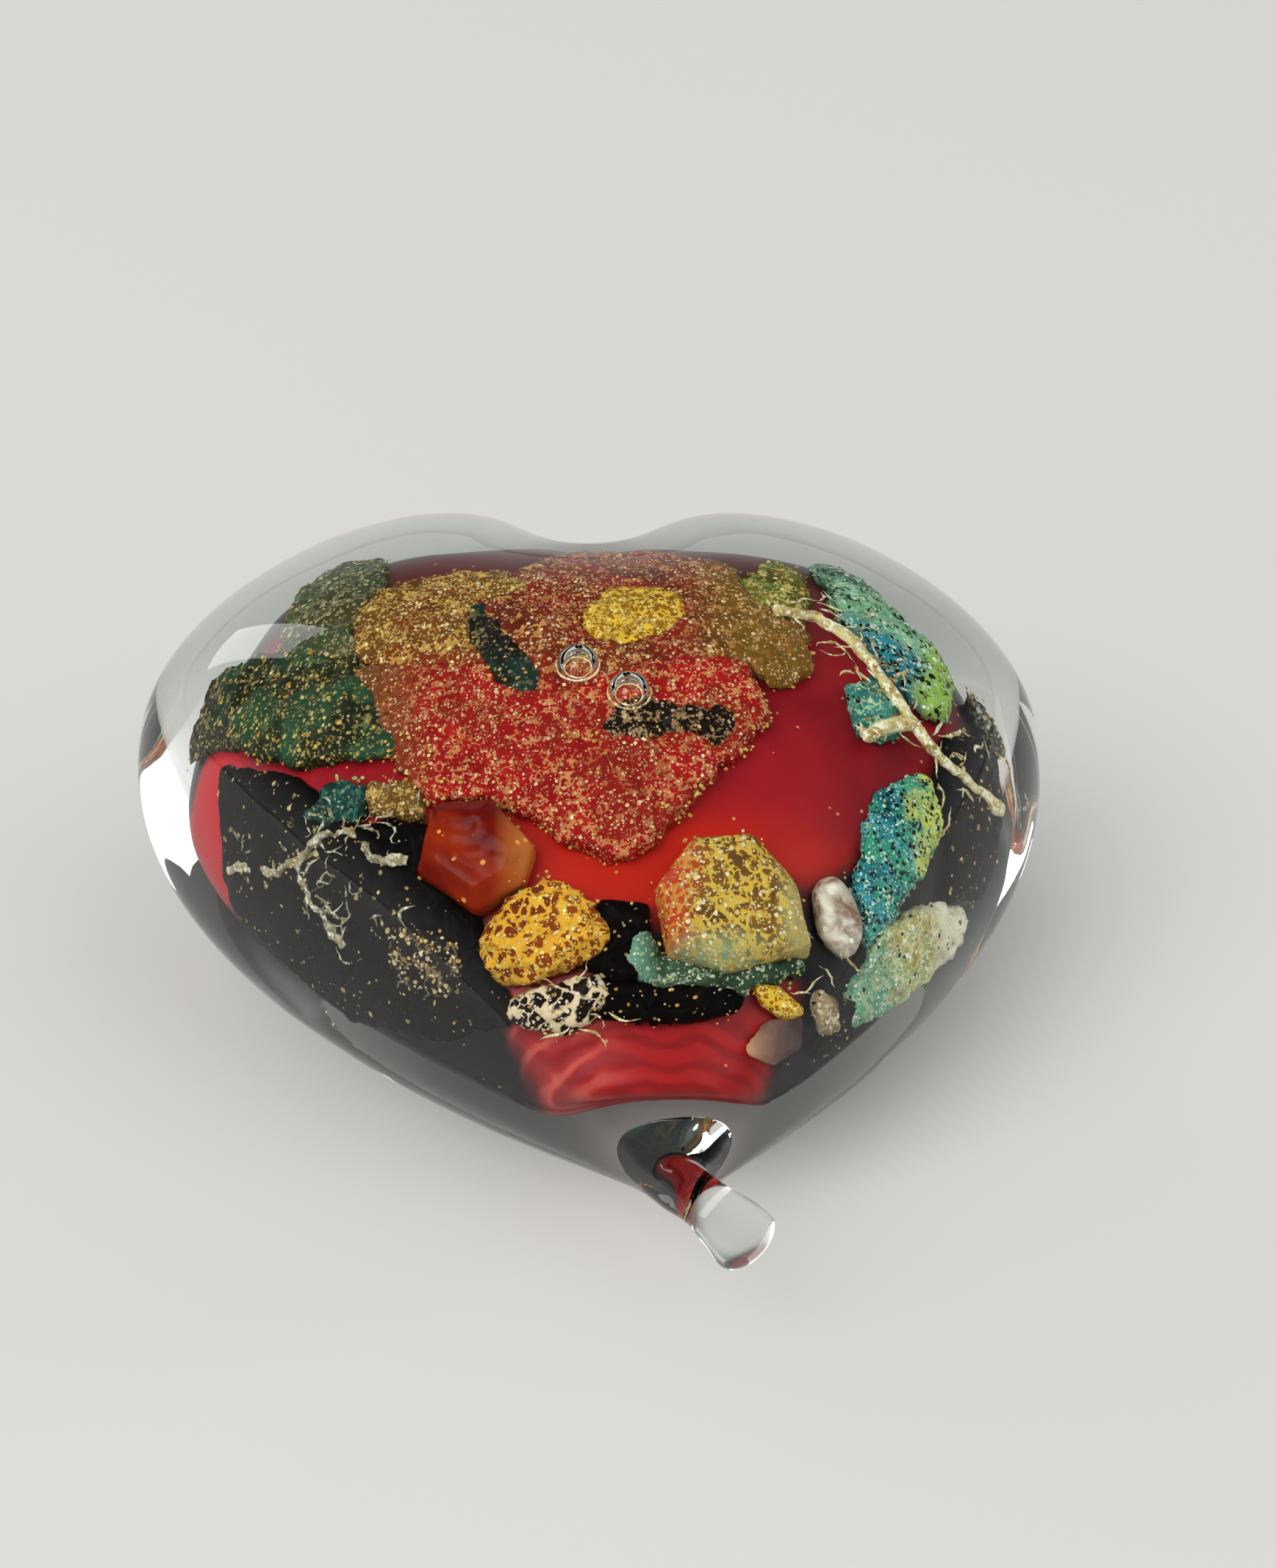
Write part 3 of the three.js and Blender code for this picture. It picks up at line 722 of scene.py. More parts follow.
@dataclass(frozen=True)
class FoilFinish:
    """Metal film on glass, crackled into grains as the hot gather stretched: bright flecks on a dark ground,
    the palest partly a painted glint.

    Sizes in millimetres end in mm. The fields after shine are shares and marks that shape grains and net.
    """

    name: str
    ground: str
    shade: str
    grain: str
    # spark: colour of the palest flecks, partly the film's own tone and partly a painted glint
    glint_fleck: str
    cover: float = 0.45
    grain_mm: float = 0.5
    patches: tuple[Patch, ...] = ()
    net: float = 0.5
    net_mm: float = 0.9
    net_colour: str | None = None
    net_width: float = 0.13
    soot: float = 0.0
    soot_mm: float = 1.1
    soot_colour: str = "#0A0808"
    drift_mm: float = 4.0
    dust_share: float = 0.75
    relief_mm: float = 0.1
    gleam: float = 0.2
    shine: float = 0.2
    dust_size: float = 0.55
    fray_size: float = 0.7
    fray_reach: float = 0.6
    crowding: Span = (0.6, 1.4)
    patch_on_grains: float = 0.5
    warp_size: float = 1.1
    warp_reach: float = 1.3
    line_widths: Span = (0.3, 1.9)
    gap_size: float = 1.4
    gap_marks: Span = (0.72, 0.8)
    gap_pull: float = 0.44
    shade_marks: Span = (0.3, 0.6)
    crowd_marks: Span = (0.32, 0.68)
    line_marks: Span = (0.35, 0.65)
    line_gain: float = 2.0
    grain_breadths: Span = (0.28, 0.62)
    grain_edge: float = 0.14
    bump: float = 0.7
    rough: Span = (0.45, 0.25)

    def net_layer(self, add: AddNode, place: Socket, ragged: Socket) -> Socket:
        """Draws the broken net of film that is left between the cracks.

        Args:
            add: Adds a node to the material.
            place: Place on the piece.
            ragged: Place, frayed so that no line is straight.

        Returns:
            How much of the net each place has.
        """
        warp = add("TexNoise", {
            "Vector": place, "Scale": per_metre(self.net_mm * self.warp_size), "Detail": 3.0,
        })
        pull = (self.net_mm * self.warp_reach * MM,) * 3
        bent = add("VectorMath", {0: warp["Color"], 1: pull, 2: ragged}, operation="MULTIPLY_ADD")[0]
        edge = add("TexVoronoi", {
            "Vector": bent, "Scale": per_metre(self.net_mm),
        }, feature="DISTANCE_TO_EDGE")["Distance"]
        low, high = self.line_marks
        thin, thick = (self.net_width * share for share in self.line_widths)
        width = add("MapRange", {
            "Value": warp[0], "From Min": low, "From Max": high, "To Min": thin, "To Max": thick,
        })[0]
        line = add("MapRange", {
            "Value": edge, "From Min": width, "From Max": 0.0, "To Max": self.line_gain,
        })[0]
        gaps = add("TexNoise", {
            "Vector": place, "Scale": per_metre(self.net_mm * self.gap_size), "Detail": 2.0,
        })[0]
        start, end = (mark - self.gap_pull * self.net for mark in self.gap_marks)
        kept = add("MapRange", {"Value": gaps, "From Min": start, "From Max": end})[0]
        return add("Math", {0: line, 1: kept}, operation="MULTIPLY")[0]

    def grain_layer(
        self, add: AddNode, ragged: Socket, crowd: float | Socket, spacing: float,
    ) -> tuple[Socket, Socket]:
        """Strews one size of grains.

        Args:
            add: Adds a node to the material.
            ragged: Place, frayed so that no grain is round.
            crowd: Share of the cells that hold a grain.
            spacing: Distance between grains in millimetres.

        Returns:
            The grains' height from 0 to 1, and a random number for each grain.
        """
        cells = add("TexVoronoi", {"Vector": ragged, "Scale": per_metre(spacing)})
        presence, breadth, chance = add("SeparateColor", {0: cells["Color"]})
        small, large = self.grain_breadths
        size = add("MapRange", {"Value": breadth, "To Min": small, "To Max": large})[0]
        depth = add("Math", {0: size, 1: cells["Distance"]}, operation="SUBTRACT")[0]
        mound = add("MapRange", {"Value": depth, "From Min": 0.0, "From Max": self.grain_edge})[0]
        held = add("Math", {0: presence, 1: crowd}, operation="LESS_THAN")[0]
        return add("Math", {0: mound, 1: held}, operation="MULTIPLY")[0], chance

    def material(self) -> Material:
        """Makes the film, with coarse grains and a finer dust between them.

        Returns:
            The material.
        """
        material, add = new_material(self.name)
        place = add("TexCoord")["Object"]
        drift = add("TexNoise", {"Vector": place, "Scale": per_metre(self.drift_mm), "Detail": 4.0})[0]
        low, high = self.shade_marks
        shade = add("MapRange", {"Value": drift, "From Min": low, "From Max": high})[0]
        colour = add("Mix", {0: shade, 6: linear(self.shade), 7: linear(self.ground)}, data_type="RGBA")[2]
        grain_colour = linear(self.grain)
        for patch in self.patches:
            share = patch.share(add, place)
            less = add("Math", {0: share, 1: self.patch_on_grains}, operation="MULTIPLY")[0]
            colour, grain_colour = (
                add("Mix", {0: much, 6: below, 7: linear(patch.colour)}, data_type="RGBA")[2]
                for much, below in ((share, colour), (less, grain_colour))
            )
        low, high = self.crowd_marks
        few, many = (self.cover * share for share in self.crowding)
        crowd = add("MapRange", {
            "Value": drift, "From Min": low, "From Max": high, "To Min": few, "To Max": many,
        })[0]
        fray = add("TexNoise", {
            "Vector": place, "Scale": per_metre(self.grain_mm * self.fray_size), "Detail": 2.0,
        })["Color"]
        reach = (self.grain_mm * self.fray_reach * MM,) * 3
        ragged = add("VectorMath", {0: fray, 1: reach, 2: place}, operation="MULTIPLY_ADD")[0]
        fewer = add("Math", {0: crowd, 1: self.dust_share}, operation="MULTIPLY")[0]
        strewn = [
            self.grain_layer(add, ragged, fewer, self.grain_mm * self.dust_size),
            self.grain_layer(add, ragged, crowd, self.grain_mm),
        ]
        net_colour = linear(self.net_colour) if self.net_colour else grain_colour
        layers = [(self.net_layer(add, place, ragged), net_colour)]
        # Each grain takes a random tone from its colour to spark; the palest end is partly a painted glint
        for height, chance in strewn:
            hue = add("Mix", {0: chance, 6: grain_colour, 7: linear(self.glint_fleck)}, data_type="RGBA")[2]
            layers.append((height, hue))
        if self.soot:
            burnt, _ = self.grain_layer(add, ragged, self.soot, self.soot_mm)
            layers.append((burnt, linear(self.soot_colour)))
        for share, tint in layers:
            colour = add("Mix", {0: share, 6: colour, 7: tint}, data_type="RGBA")[2]
        height = add("Math", {0: strewn[0][0], 1: strewn[1][0]}, operation="MAXIMUM")[0]
        bump = add("Bump", {"Strength": self.bump, "Distance": self.relief_mm * MM, "Height": height})[0]
        metal = add("Math", {0: height, 1: self.gleam}, operation="MULTIPLY")[0]
        bare, grained = self.rough
        rough = add("MapRange", {"Value": height, "To Min": bare, "To Max": grained})[0]
        film = add("BsdfPrincipled", {
            "Base Color": colour, "Metallic": metal, "Roughness": rough, "Specular IOR Level": self.shine,
            "Normal": bump,
        })[0]
        add("OutputMaterial", {"Surface": film})
        return material


@dataclass(frozen=True)
class MilkyGlass:
    """Tinted glass chip, broken and softened in the heat: light soaks in, with clouds and a few grains."""

    name: str
    body: str
    cloud: str
    grain: str
    cloud_mm: float = 3.0
    soak: float = 0.5
    soak_mm: float = 1.5
    soak_reach: tuple[float, float, float] = (1.0, 0.5, 0.3)
    grain_mm: float = 0.8
    grain_radius: float = 0.34
    grain_cover: float = 0.12
    patch: Patch | None = None
    cloud_marks: Span = (0.38, 0.66)
    swirl: float = 1.2
    roughness: float = 0.2
    shine: float = 0.12

    def material(self) -> Material:
        """Makes the tinted glass, with its grains where it is cloudy.

        Returns:
            The material.
        """
        material, add = new_material(self.name)
        place = add("TexCoord")["Object"]
        haze = add("TexNoise", {
            "Vector": place, "Scale": per_metre(self.cloud_mm), "Detail": 3.0, "Distortion": self.swirl,
        })[0]
        low, high = self.cloud_marks
        cloud = add("MapRange", {"Value": haze, "From Min": low, "From Max": high})[0]
        cover = add("Math", {0: cloud, 1: 2 * self.grain_cover}, operation="MULTIPLY")[0]
        layers = [(cloud, self.cloud)]
        if self.patch:
            layers.append((self.patch.share(add, place), self.patch.colour))
        layers.append((stray_grains(add, place, self.grain_mm, self.grain_radius, cover), self.grain))
        colour = linear(self.body)
        for share, tint in layers:
            colour = add("Mix", {0: share, 6: colour, 7: linear(tint)}, data_type="RGBA")[2]
        body = add("BsdfPrincipled", {
            "Base Color": colour, "Roughness": self.roughness, "Specular IOR Level": self.shine,
            "Subsurface Weight": self.soak, "Subsurface Radius": self.soak_reach,
            "Subsurface Scale": self.soak_mm * MM,
        })[0]
        add("OutputMaterial", {"Surface": body})
        return material


# Green films: worn gold and grey-green flecks over a darker ground
SAGE = FoilFinish(
    "sage_film_crackled", "#584E2C", "#2A220E", "#948A62", "#D2C498", patches=(Patch("#38482A"),),
)
MOSS = FoilFinish(
    "moss_film_crackled", "#242A12", "#0D0E06", "#7C7440", "#CDB872", 0.4, 0.45, (Patch("#22482E"),), net=0.3,
)
DARK = FoilFinish(
    "dark_film_crackled", "#1A140C", "#0A0806", "#7E7042", "#A89E78", 0.3, 0.5, (Patch("#16302A"),), net=0.3,
)
DEEP_TEAL = FoilFinish("deep_teal_film_crackled", "#123E36", "#081C18", "#2E6052", "#86A08A", 0.35, 0.45)
RIBBON = FoilFinish(
    "green_ribbon_film", "#3A5238", "#121A10", "#94A686", "#DCE8CC", 0.32, 0.45,
    (Patch("#64967C", Axis.RIGHT, (6.5, 4.5)),), net=0.4,
)
LIME = FoilFinish(
    "lime_film_crackled", "#746C1E", "#3E3A10", "#C2B25A", "#FCF2AC", 0.45, 0.45, (Patch("#4E7226"),),
)
# Gold, copper and ember films: a warm glitter, with red or amber glass glowing between the flecks
GOLD = FoilFinish(
    "gold_film_crackled", "#7A5010", "#522A06", "#D8AA4A", "#FFF0B0", 0.5, 0.42,
    (Patch("#7C380E"), Patch("#86260E", Axis.BACK, (8.0, 3.0))),
)
GOLD_CHIP = FoilFinish("gold_chip_film_crackled", "#86602A", "#54300E", "#BE9A50", "#F0DCA0", 0.5, 0.45)
SUNFLOWER = FoilFinish(
    "sunflower_film_crackled", "#A8740C", "#7A4A06", "#F0C238", "#FFF4A0", 0.55, 0.5, net=0.8, net_mm=0.8,
)
COPPER = FoilFinish(
    "copper_film_crackled", "#7C2C0C", "#581406", "#C88E4C", "#FFE6B0", 0.42, 0.4,
    (Patch("#861A0A"), Patch("#745214", Axis.RIGHT, (9.0, 14.0))),
)
EMBER = FoilFinish(
    "ember_film_crackled", "#AC0E10", "#7E080C", "#CE8650", "#FFDCA8", 0.3, 0.38,
    (Patch("#8E160C"), Patch("#70421A", Axis.RIGHT, (-14.0, -19.0))), net=0.52, net_mm=0.8,
)
HONEY = FoilFinish(
    "honey_film_bubbled", "#96440A", "#5C1E06", "#F2BE3A", "#FFF29C", 0.4, 0.5,
    (Patch("#78300E", Axis.RIGHT, (-4.0, -7.0)),), net=1.0, net_mm=1.3, net_colour="#E8AC30", net_width=0.16,
)
CHUNK = FoilFinish(
    "green_gold_film_granular", "#84560E", "#4A2A08", "#D8B23E", "#FFF8C8", 0.4, 0.5, (
        Patch("#AEA468", Axis.RIGHT, (17.0, 19.5)), Patch("#BC3A14", Axis.RIGHT, (11.5, 9.0)),
        Patch("#7E9670", Axis.BACK, (-22.8, -25.0)),
    ), net=0.7, net_mm=1.0, net_width=0.17, shine=0.4,
)
# Crusts and dust: pale lace round dark pits, or sparse glints on black
SOOT = FoilFinish("soot_film_crackled", "#160A06", "#080403", "#96744E", "#E4C698", 0.3)
CREAM = FoilFinish(
    "cream_film_crackled", "#A48C66", "#6A5438", "#D8C49E", "#FFF4DA", 0.5, 0.5, soot=0.15, soot_mm=0.6,
)
CRUST = FoilFinish(
    "cream_film_bubbled", "#160A08", "#0A0404", "#EAD4AC", "#FFF8E4", 0.22, 0.5,
    net=0.9, net_mm=1.8, net_colour="#E6D0A8",
)
SPECKLE = FoilFinish(
    "gold_grains_on_black", "#120A07", "#060303", "#A68C60", "#F4E2B4", 0.26, 0.6,
    net=0.42, net_colour="#7C684A", shine=0.1,
)
DUST = FoilFinish(
    "gold_dust_on_black", "#2A281C", "#121008", "#8C8A72", "#DAD8C4", 0.45, 0.5,
    net=0.65, net_colour="#6E705C", shine=0.1,
)
BLACK = FoilFinish(
    "black_glass_gold_dust", "#080404", "#030202", "#7E6E48", "#D8C084", 0.04, 0.6, net=0.0, shine=0.05,
)
# Teal, mint and pale green films: cool bright flakes with dark pits, most turning lime or cream at an edge
TEAL = FoilFinish(
    "teal_film_crackled", "#2C94A0", "#0E4854", "#86CEBC", "#E4FCE0", 0.5, 0.4,
    (Patch("#CEDA58", Axis.RIGHT, (28.8, 30.0)), Patch("#2E9A7A", drift_mm=3.0)),
    net_mm=0.7, net_colour="#06141A", soot=0.34, soot_mm=0.5,
)
PATCH_TEAL = FoilFinish(
    "pale_teal_film_crackled", "#3C8C80", "#1C5048", "#9CC49A", "#E4F0C8", soot=0.2, soot_mm=0.5,
)
MINT = FoilFinish(
    "mint_film_crackled", "#90CC9E", "#3A6A4E", "#BEECC0", "#F0FFEC", 0.5, 0.45,
    (Patch("#2A8898", Axis.BACK, (15.0, 12.0)), Patch("#9CC24E", Axis.RIGHT, (28.8, 30.2))),
    net_mm=0.7, net_colour="#0C1E16", soot=0.3, soot_mm=0.55,
)
GREEN_GOLD = FoilFinish(
    "pale_green_gold_film", "#B4BC6C", "#728C4C", "#E6E4B0", "#FFFDEC", 0.5, 0.42, (
        Patch("#B49C40", drift_mm=2.5), Patch("#52A07E", Axis.BACK, (-13.5, -16.5)),
        Patch("#F2EAD4", Axis.BACK, (-10.0, -7.5)),
    ), net=0.7, soot=0.1, soot_mm=0.5,
)
# Drawn threads: soft cream with a faint gleam of metal
LACE = FoilFinish("cream_gold_lace", "#DCCE8E", "#9A7230", "#FAF6D2", "#FFFEF2", 0.5, drift_mm=1.4, gleam=0.1)
WISP = FoilFinish("cream_grey_lace", "#A59C78", "#5C543C", "#D2CBB0", "#F6F0DA", 0.5, drift_mm=1.4)
# Softened chips: light sinks into cloudy tinted glass
AMBER_CHIP = MilkyGlass(
    "amber_glass_softened", "#660A04", "#96280A", "#DE9E48", cloud_mm=9.0, soak=0.25, grain_cover=0.05,
    patch=Patch("#BC6A30", Axis.RIGHT, (-9.0, -5.5)),
)
OPAL_CHIP = MilkyGlass(
    "opal_glass_softened", "#90705A", "#F2ECDC", "#FFF8E8", cloud_mm=2.4, grain_cover=0.05,
)
ROSE_CHIP = MilkyGlass(
    "rose_glass_softened", "#463634", "#7A5E54", "#F8E4C4", cloud_mm=5.0, grain_cover=0.05,
    patch=Patch("#D8AA84", Axis.RIGHT, (17.0, 14.6)),
)
# Loose flakes: single bright flecks, the palest partly a painted glint
GRAIN_GOLD = FoilFinish("gold_grain_flakes", "#C0903A", "#9A6A20", "#E4BC5C", "#FFF0B8", 0.6, 0.6, gleam=0.3)
GRAIN_GREEN = FoilFinish(
    "green_gold_grain_flakes", "#98A054", "#6A7638", "#C8CC82", "#F2F4C8", 0.6, 0.6, gleam=0.3,
)


@dataclass
class ClearCasing:
    """The outer gather of clear glass with its ground foot and pulled tail, sizes in millimetres."""

    form: HeartForm = CASING_FORM
    rows: int = 60
    columns: int = 96
    tail_rows: int = 8
    neck_station: float = 0.945
    neck_radius: float = 2.4
    bulb_radius: float = 3.4
    tail_hump: float = 3.0
    tail_hump_share: float = 0.3
    tail_swing: float = 6.3
    tail_length: float = 4.4
    tail_end_round: float = 0.6
    wave: Relief = Relief(Pattern.CLOUDS, 16.0, 0.25, False)
    foot_edge: float = 35.0

    def tail_rings(self, neck_ring: Ring) -> list[Ring]:
        """Gives the rings of the tail: a curved neck that swells to a bulb with a flattened end.

        Args:
            neck_ring: The heart's last ring.

        Returns:
            The rings that follow it.
        """
        count = len(neck_ring)
        centre = sum(neck_ring, Vector()) / count
        tip = MM * Vector((self.form.tip_swing, -self.form.tip_reach, self.form.tip_height))
        end = tip + MM * Vector((self.tail_swing, -self.tail_length, 0))
        hump = tip.lerp(end, self.tail_hump_share) + MM * Vector((0, 0, self.tail_hump))
        root = (neck_ring[0] - centre).length
        neck, bulb = self.neck_radius * MM, self.bulb_radius * MM
        stations = []
        for row in range(1, self.tail_rows + 1):
            share = row / self.tail_rows
            middle = centre * (1 - share) ** 2 + hump * 2 * share * (1 - share) + end * share**2
            heading = ((hump - centre) * (1 - share) + (end - hump) * share).normalized()
            radius = neck + (root - neck) * (1 - smooth(2 * share)) + (bulb - neck) * smooth(2 * share - 1)
            stations.append((middle, heading, radius))
        heading = (end - hump).normalized()
        for row in range(1, self.tail_rows + 1):
            turn = math.pi / 2 * row / self.tail_rows
            middle = end + heading * self.tail_end_round * bulb * math.sin(turn)
            stations.append((middle, heading, bulb * math.cos(turn)))
        up = Vector((0, 0, 1))
        return [
            ring_round(middle, heading, up.cross(heading).normalized(), radius, count)
            for middle, heading, radius in stations
        ]

    def build(self) -> Piece:
        """Makes the casing as one smooth body, ground flat at the foot.

        Returns:
            The casing.
        """
        rings = self.form.rings(self.neck_station, self.rows, self.columns)
        casing = mesh_from_sphere("crystal_casing", rings + self.tail_rings(rings[-1]))
        with edit_mode(casing):
            bpy.ops.mesh.vertices_smooth(factor=0.5, repeat=2)
        finer = casing.modifiers.new("Finer", "SUBSURF")
        finer.levels = finer.render_levels = 1
        apply_modifiers(casing)
        self.wave.apply(casing)
        with edit_mode(casing):
            bpy.ops.mesh.bisect(
                plane_co=(0, 0, 0), plane_no=(0, 0, 1), use_fill=True, clear_inner=True, threshold=1e-7,
            )
        bpy.ops.object.shade_smooth_by_angle(angle=math.radians(self.foot_edge))
        return casing

    def dress(self, casing: Piece) -> None:
        """Gives the casing its glass."""
        hand_over(casing, "clear_glass", ClearGlass().material(), "clear_casing", "pontil_plug")


@dataclass
class RubyCore:
    """The inner gather of red glass, with its point pressed blunt and undercut, sizes in millimetres."""

    form: HeartForm = CORE_FORM
    rows: int = 96
    columns: int = 96
    blunt_reach: float = 33.0
    blunt_edge: float = 2.0
    brow_height: float = 14.5
    chin_slope: float = 1.1
    ridge_spacing: float = 1.9
    ridge_height: float = 0.16
    ridge_start: float = 0.74
    ridge_end: float = 0.93
    ridge_fade: float = 12.0

    def build(self) -> Piece:
        """Makes the core, with ridges round its point where the glass was drawn.

        Returns:
            The core.
        """
        rings = self.form.rings(1.0, self.rows, self.columns)
        reach = self.form.tip_reach + self.form.lobe_reach
        for row in range(1, self.rows):
            along = row / self.rows
            share = smooth((along - self.ridge_start) * self.ridge_fade)
            share *= smooth((self.ridge_end - along) * self.ridge_fade)
            lift = self.ridge_height * MM * share * math.sin(math.tau * along * reach / self.ridge_spacing)
            for column, point in enumerate(rings[row]):
                rings[row][column] = point + lift * self.form.outward(along, math.tau * column / self.columns)
        edge = self.blunt_edge * MM
        for point in (point for ring in rings for point in ring):
            below = max(0.0, self.brow_height * MM - point.z)
            past = (self.blunt_edge - self.blunt_reach) * MM + self.chin_slope * below - point.y
            if past > 0:
                point.y += past - edge * math.tanh(past / edge)
        core = mesh_from_sphere("ruby_gather", rings)
        bpy.ops.object.shade_smooth()
        return core

    def dress(self, core: Piece) -> None:
        """Gives the core its red glass."""
        hand_over(core, "ruby_glass", RubyGlass().material(), "ruby_core")


@dataclass(frozen=True)
class Inclusion:
    """One piece laid on the core: its node, how it was laid, its finish and the grains that cling to it."""

    node: str
    shape: Shape
    slot: str
    finish: FoilFinish | MilkyGlass
    grains: int = 0
    grain_finish: FoilFinish = GRAIN_GOLD


INCLUSIONS = (
    Inclusion("amber_glass_chip", Shape.CHIP, "amber_glass", AMBER_CHIP, 14),
    Inclusion("amber_nugget", Shape.LUMP, "sunflower_foil", HONEY, 60),
    Inclusion("cream_cluster", Shape.LUMP, "cream_foil", CRUST, 40),
    Inclusion("speckle_cluster_left", Shape.LUMP, "gold_foil", SPECKLE, 90),
    Inclusion("gold_green_chunk_front", Shape.CHIP, "lime_foil", CHUNK, 90),
    Inclusion("opal_chip_front_right", Shape.CHIP, "opal_glass", OPAL_CHIP),
    Inclusion("clear_chip_front", Shape.CHIP, "opal_glass", ROSE_CHIP),
    Inclusion("yellow_sliver_front", Shape.CHIP, "sunflower_foil", SUNFLOWER),
    Inclusion("cream_sliver_front", Shape.LUMP, "cream_foil", CREAM),
    Inclusion("black_flake_centre", Shape.SHEET, "black_glass", SOOT, 60),
    Inclusion("dark_flake_left", Shape.SHEET, "moss_foil", DARK, 30),
    Inclusion("sunflower_sheet", Shape.SHEET, "sunflower_foil", SUNFLOWER, 200),
    Inclusion("teal_chip_left", Shape.SHEET, "teal_foil", DEEP_TEAL, 16, GRAIN_GREEN),
    Inclusion("gold_chip_left", Shape.SHEET, "sunflower_foil", GOLD_CHIP, 40),
    Inclusion("green_ribbon_front", Shape.SHEET, "mint_foil", RIBBON, 24, GRAIN_GREEN),
    Inclusion("gold_sheet_left", Shape.SHEET, "gold_foil", GOLD, 320),
    Inclusion("copper_sheet_rear", Shape.SHEET, "copper_foil", COPPER, 360),
    Inclusion("ember_sheet_centre", Shape.SHEET, "ember_foil", EMBER, 520),
    Inclusion("sage_shard_rear_left", Shape.SHEET, "sage_foil", SAGE, 160, GRAIN_GREEN),
    Inclusion("moss_shard_left", Shape.SHEET, "moss_foil", MOSS, 260),
    Inclusion("lime_shard_rear_right", Shape.SHEET, "lime_foil", LIME, 80),
    Inclusion("mint_shard_rear_right", Shape.SHEET, "mint_foil", MINT, 60, GRAIN_GREEN),
    Inclusion("teal_patch_right", Shape.SHEET, "teal_foil", PATCH_TEAL, 24, GRAIN_GREEN),
    Inclusion("teal_shard_right", Shape.SHEET, "teal_foil", TEAL, 30, GRAIN_GREEN),
    Inclusion("green_gold_shard_right", Shape.SHEET, "lime_foil", GREEN_GOLD, 80, GRAIN_GREEN),
    Inclusion("black_shard_right", Shape.PANE, "black_glass", BLACK, 60),
    Inclusion("gold_dust_sliver_right", Shape.SHEET, "cream_foil", DUST, 60),
    Inclusion("black_shard_front", Shape.PANE, "black_glass", BLACK, 40),
    Inclusion("black_chip_front", Shape.PANE, "black_glass", BLACK, 10),
    Inclusion("black_shard_front_right", Shape.PANE, "black_glass", BLACK, 10),
    Inclusion("black_shard_front_left", Shape.PANE, "black_glass", BLACK, 40),
    Inclusion("gold_vein_right", Shape.VEIN, "cream_foil", LACE, 40),
    Inclusion("gold_wisp_left", Shape.THREAD, "cream_foil", WISP, 50),
)


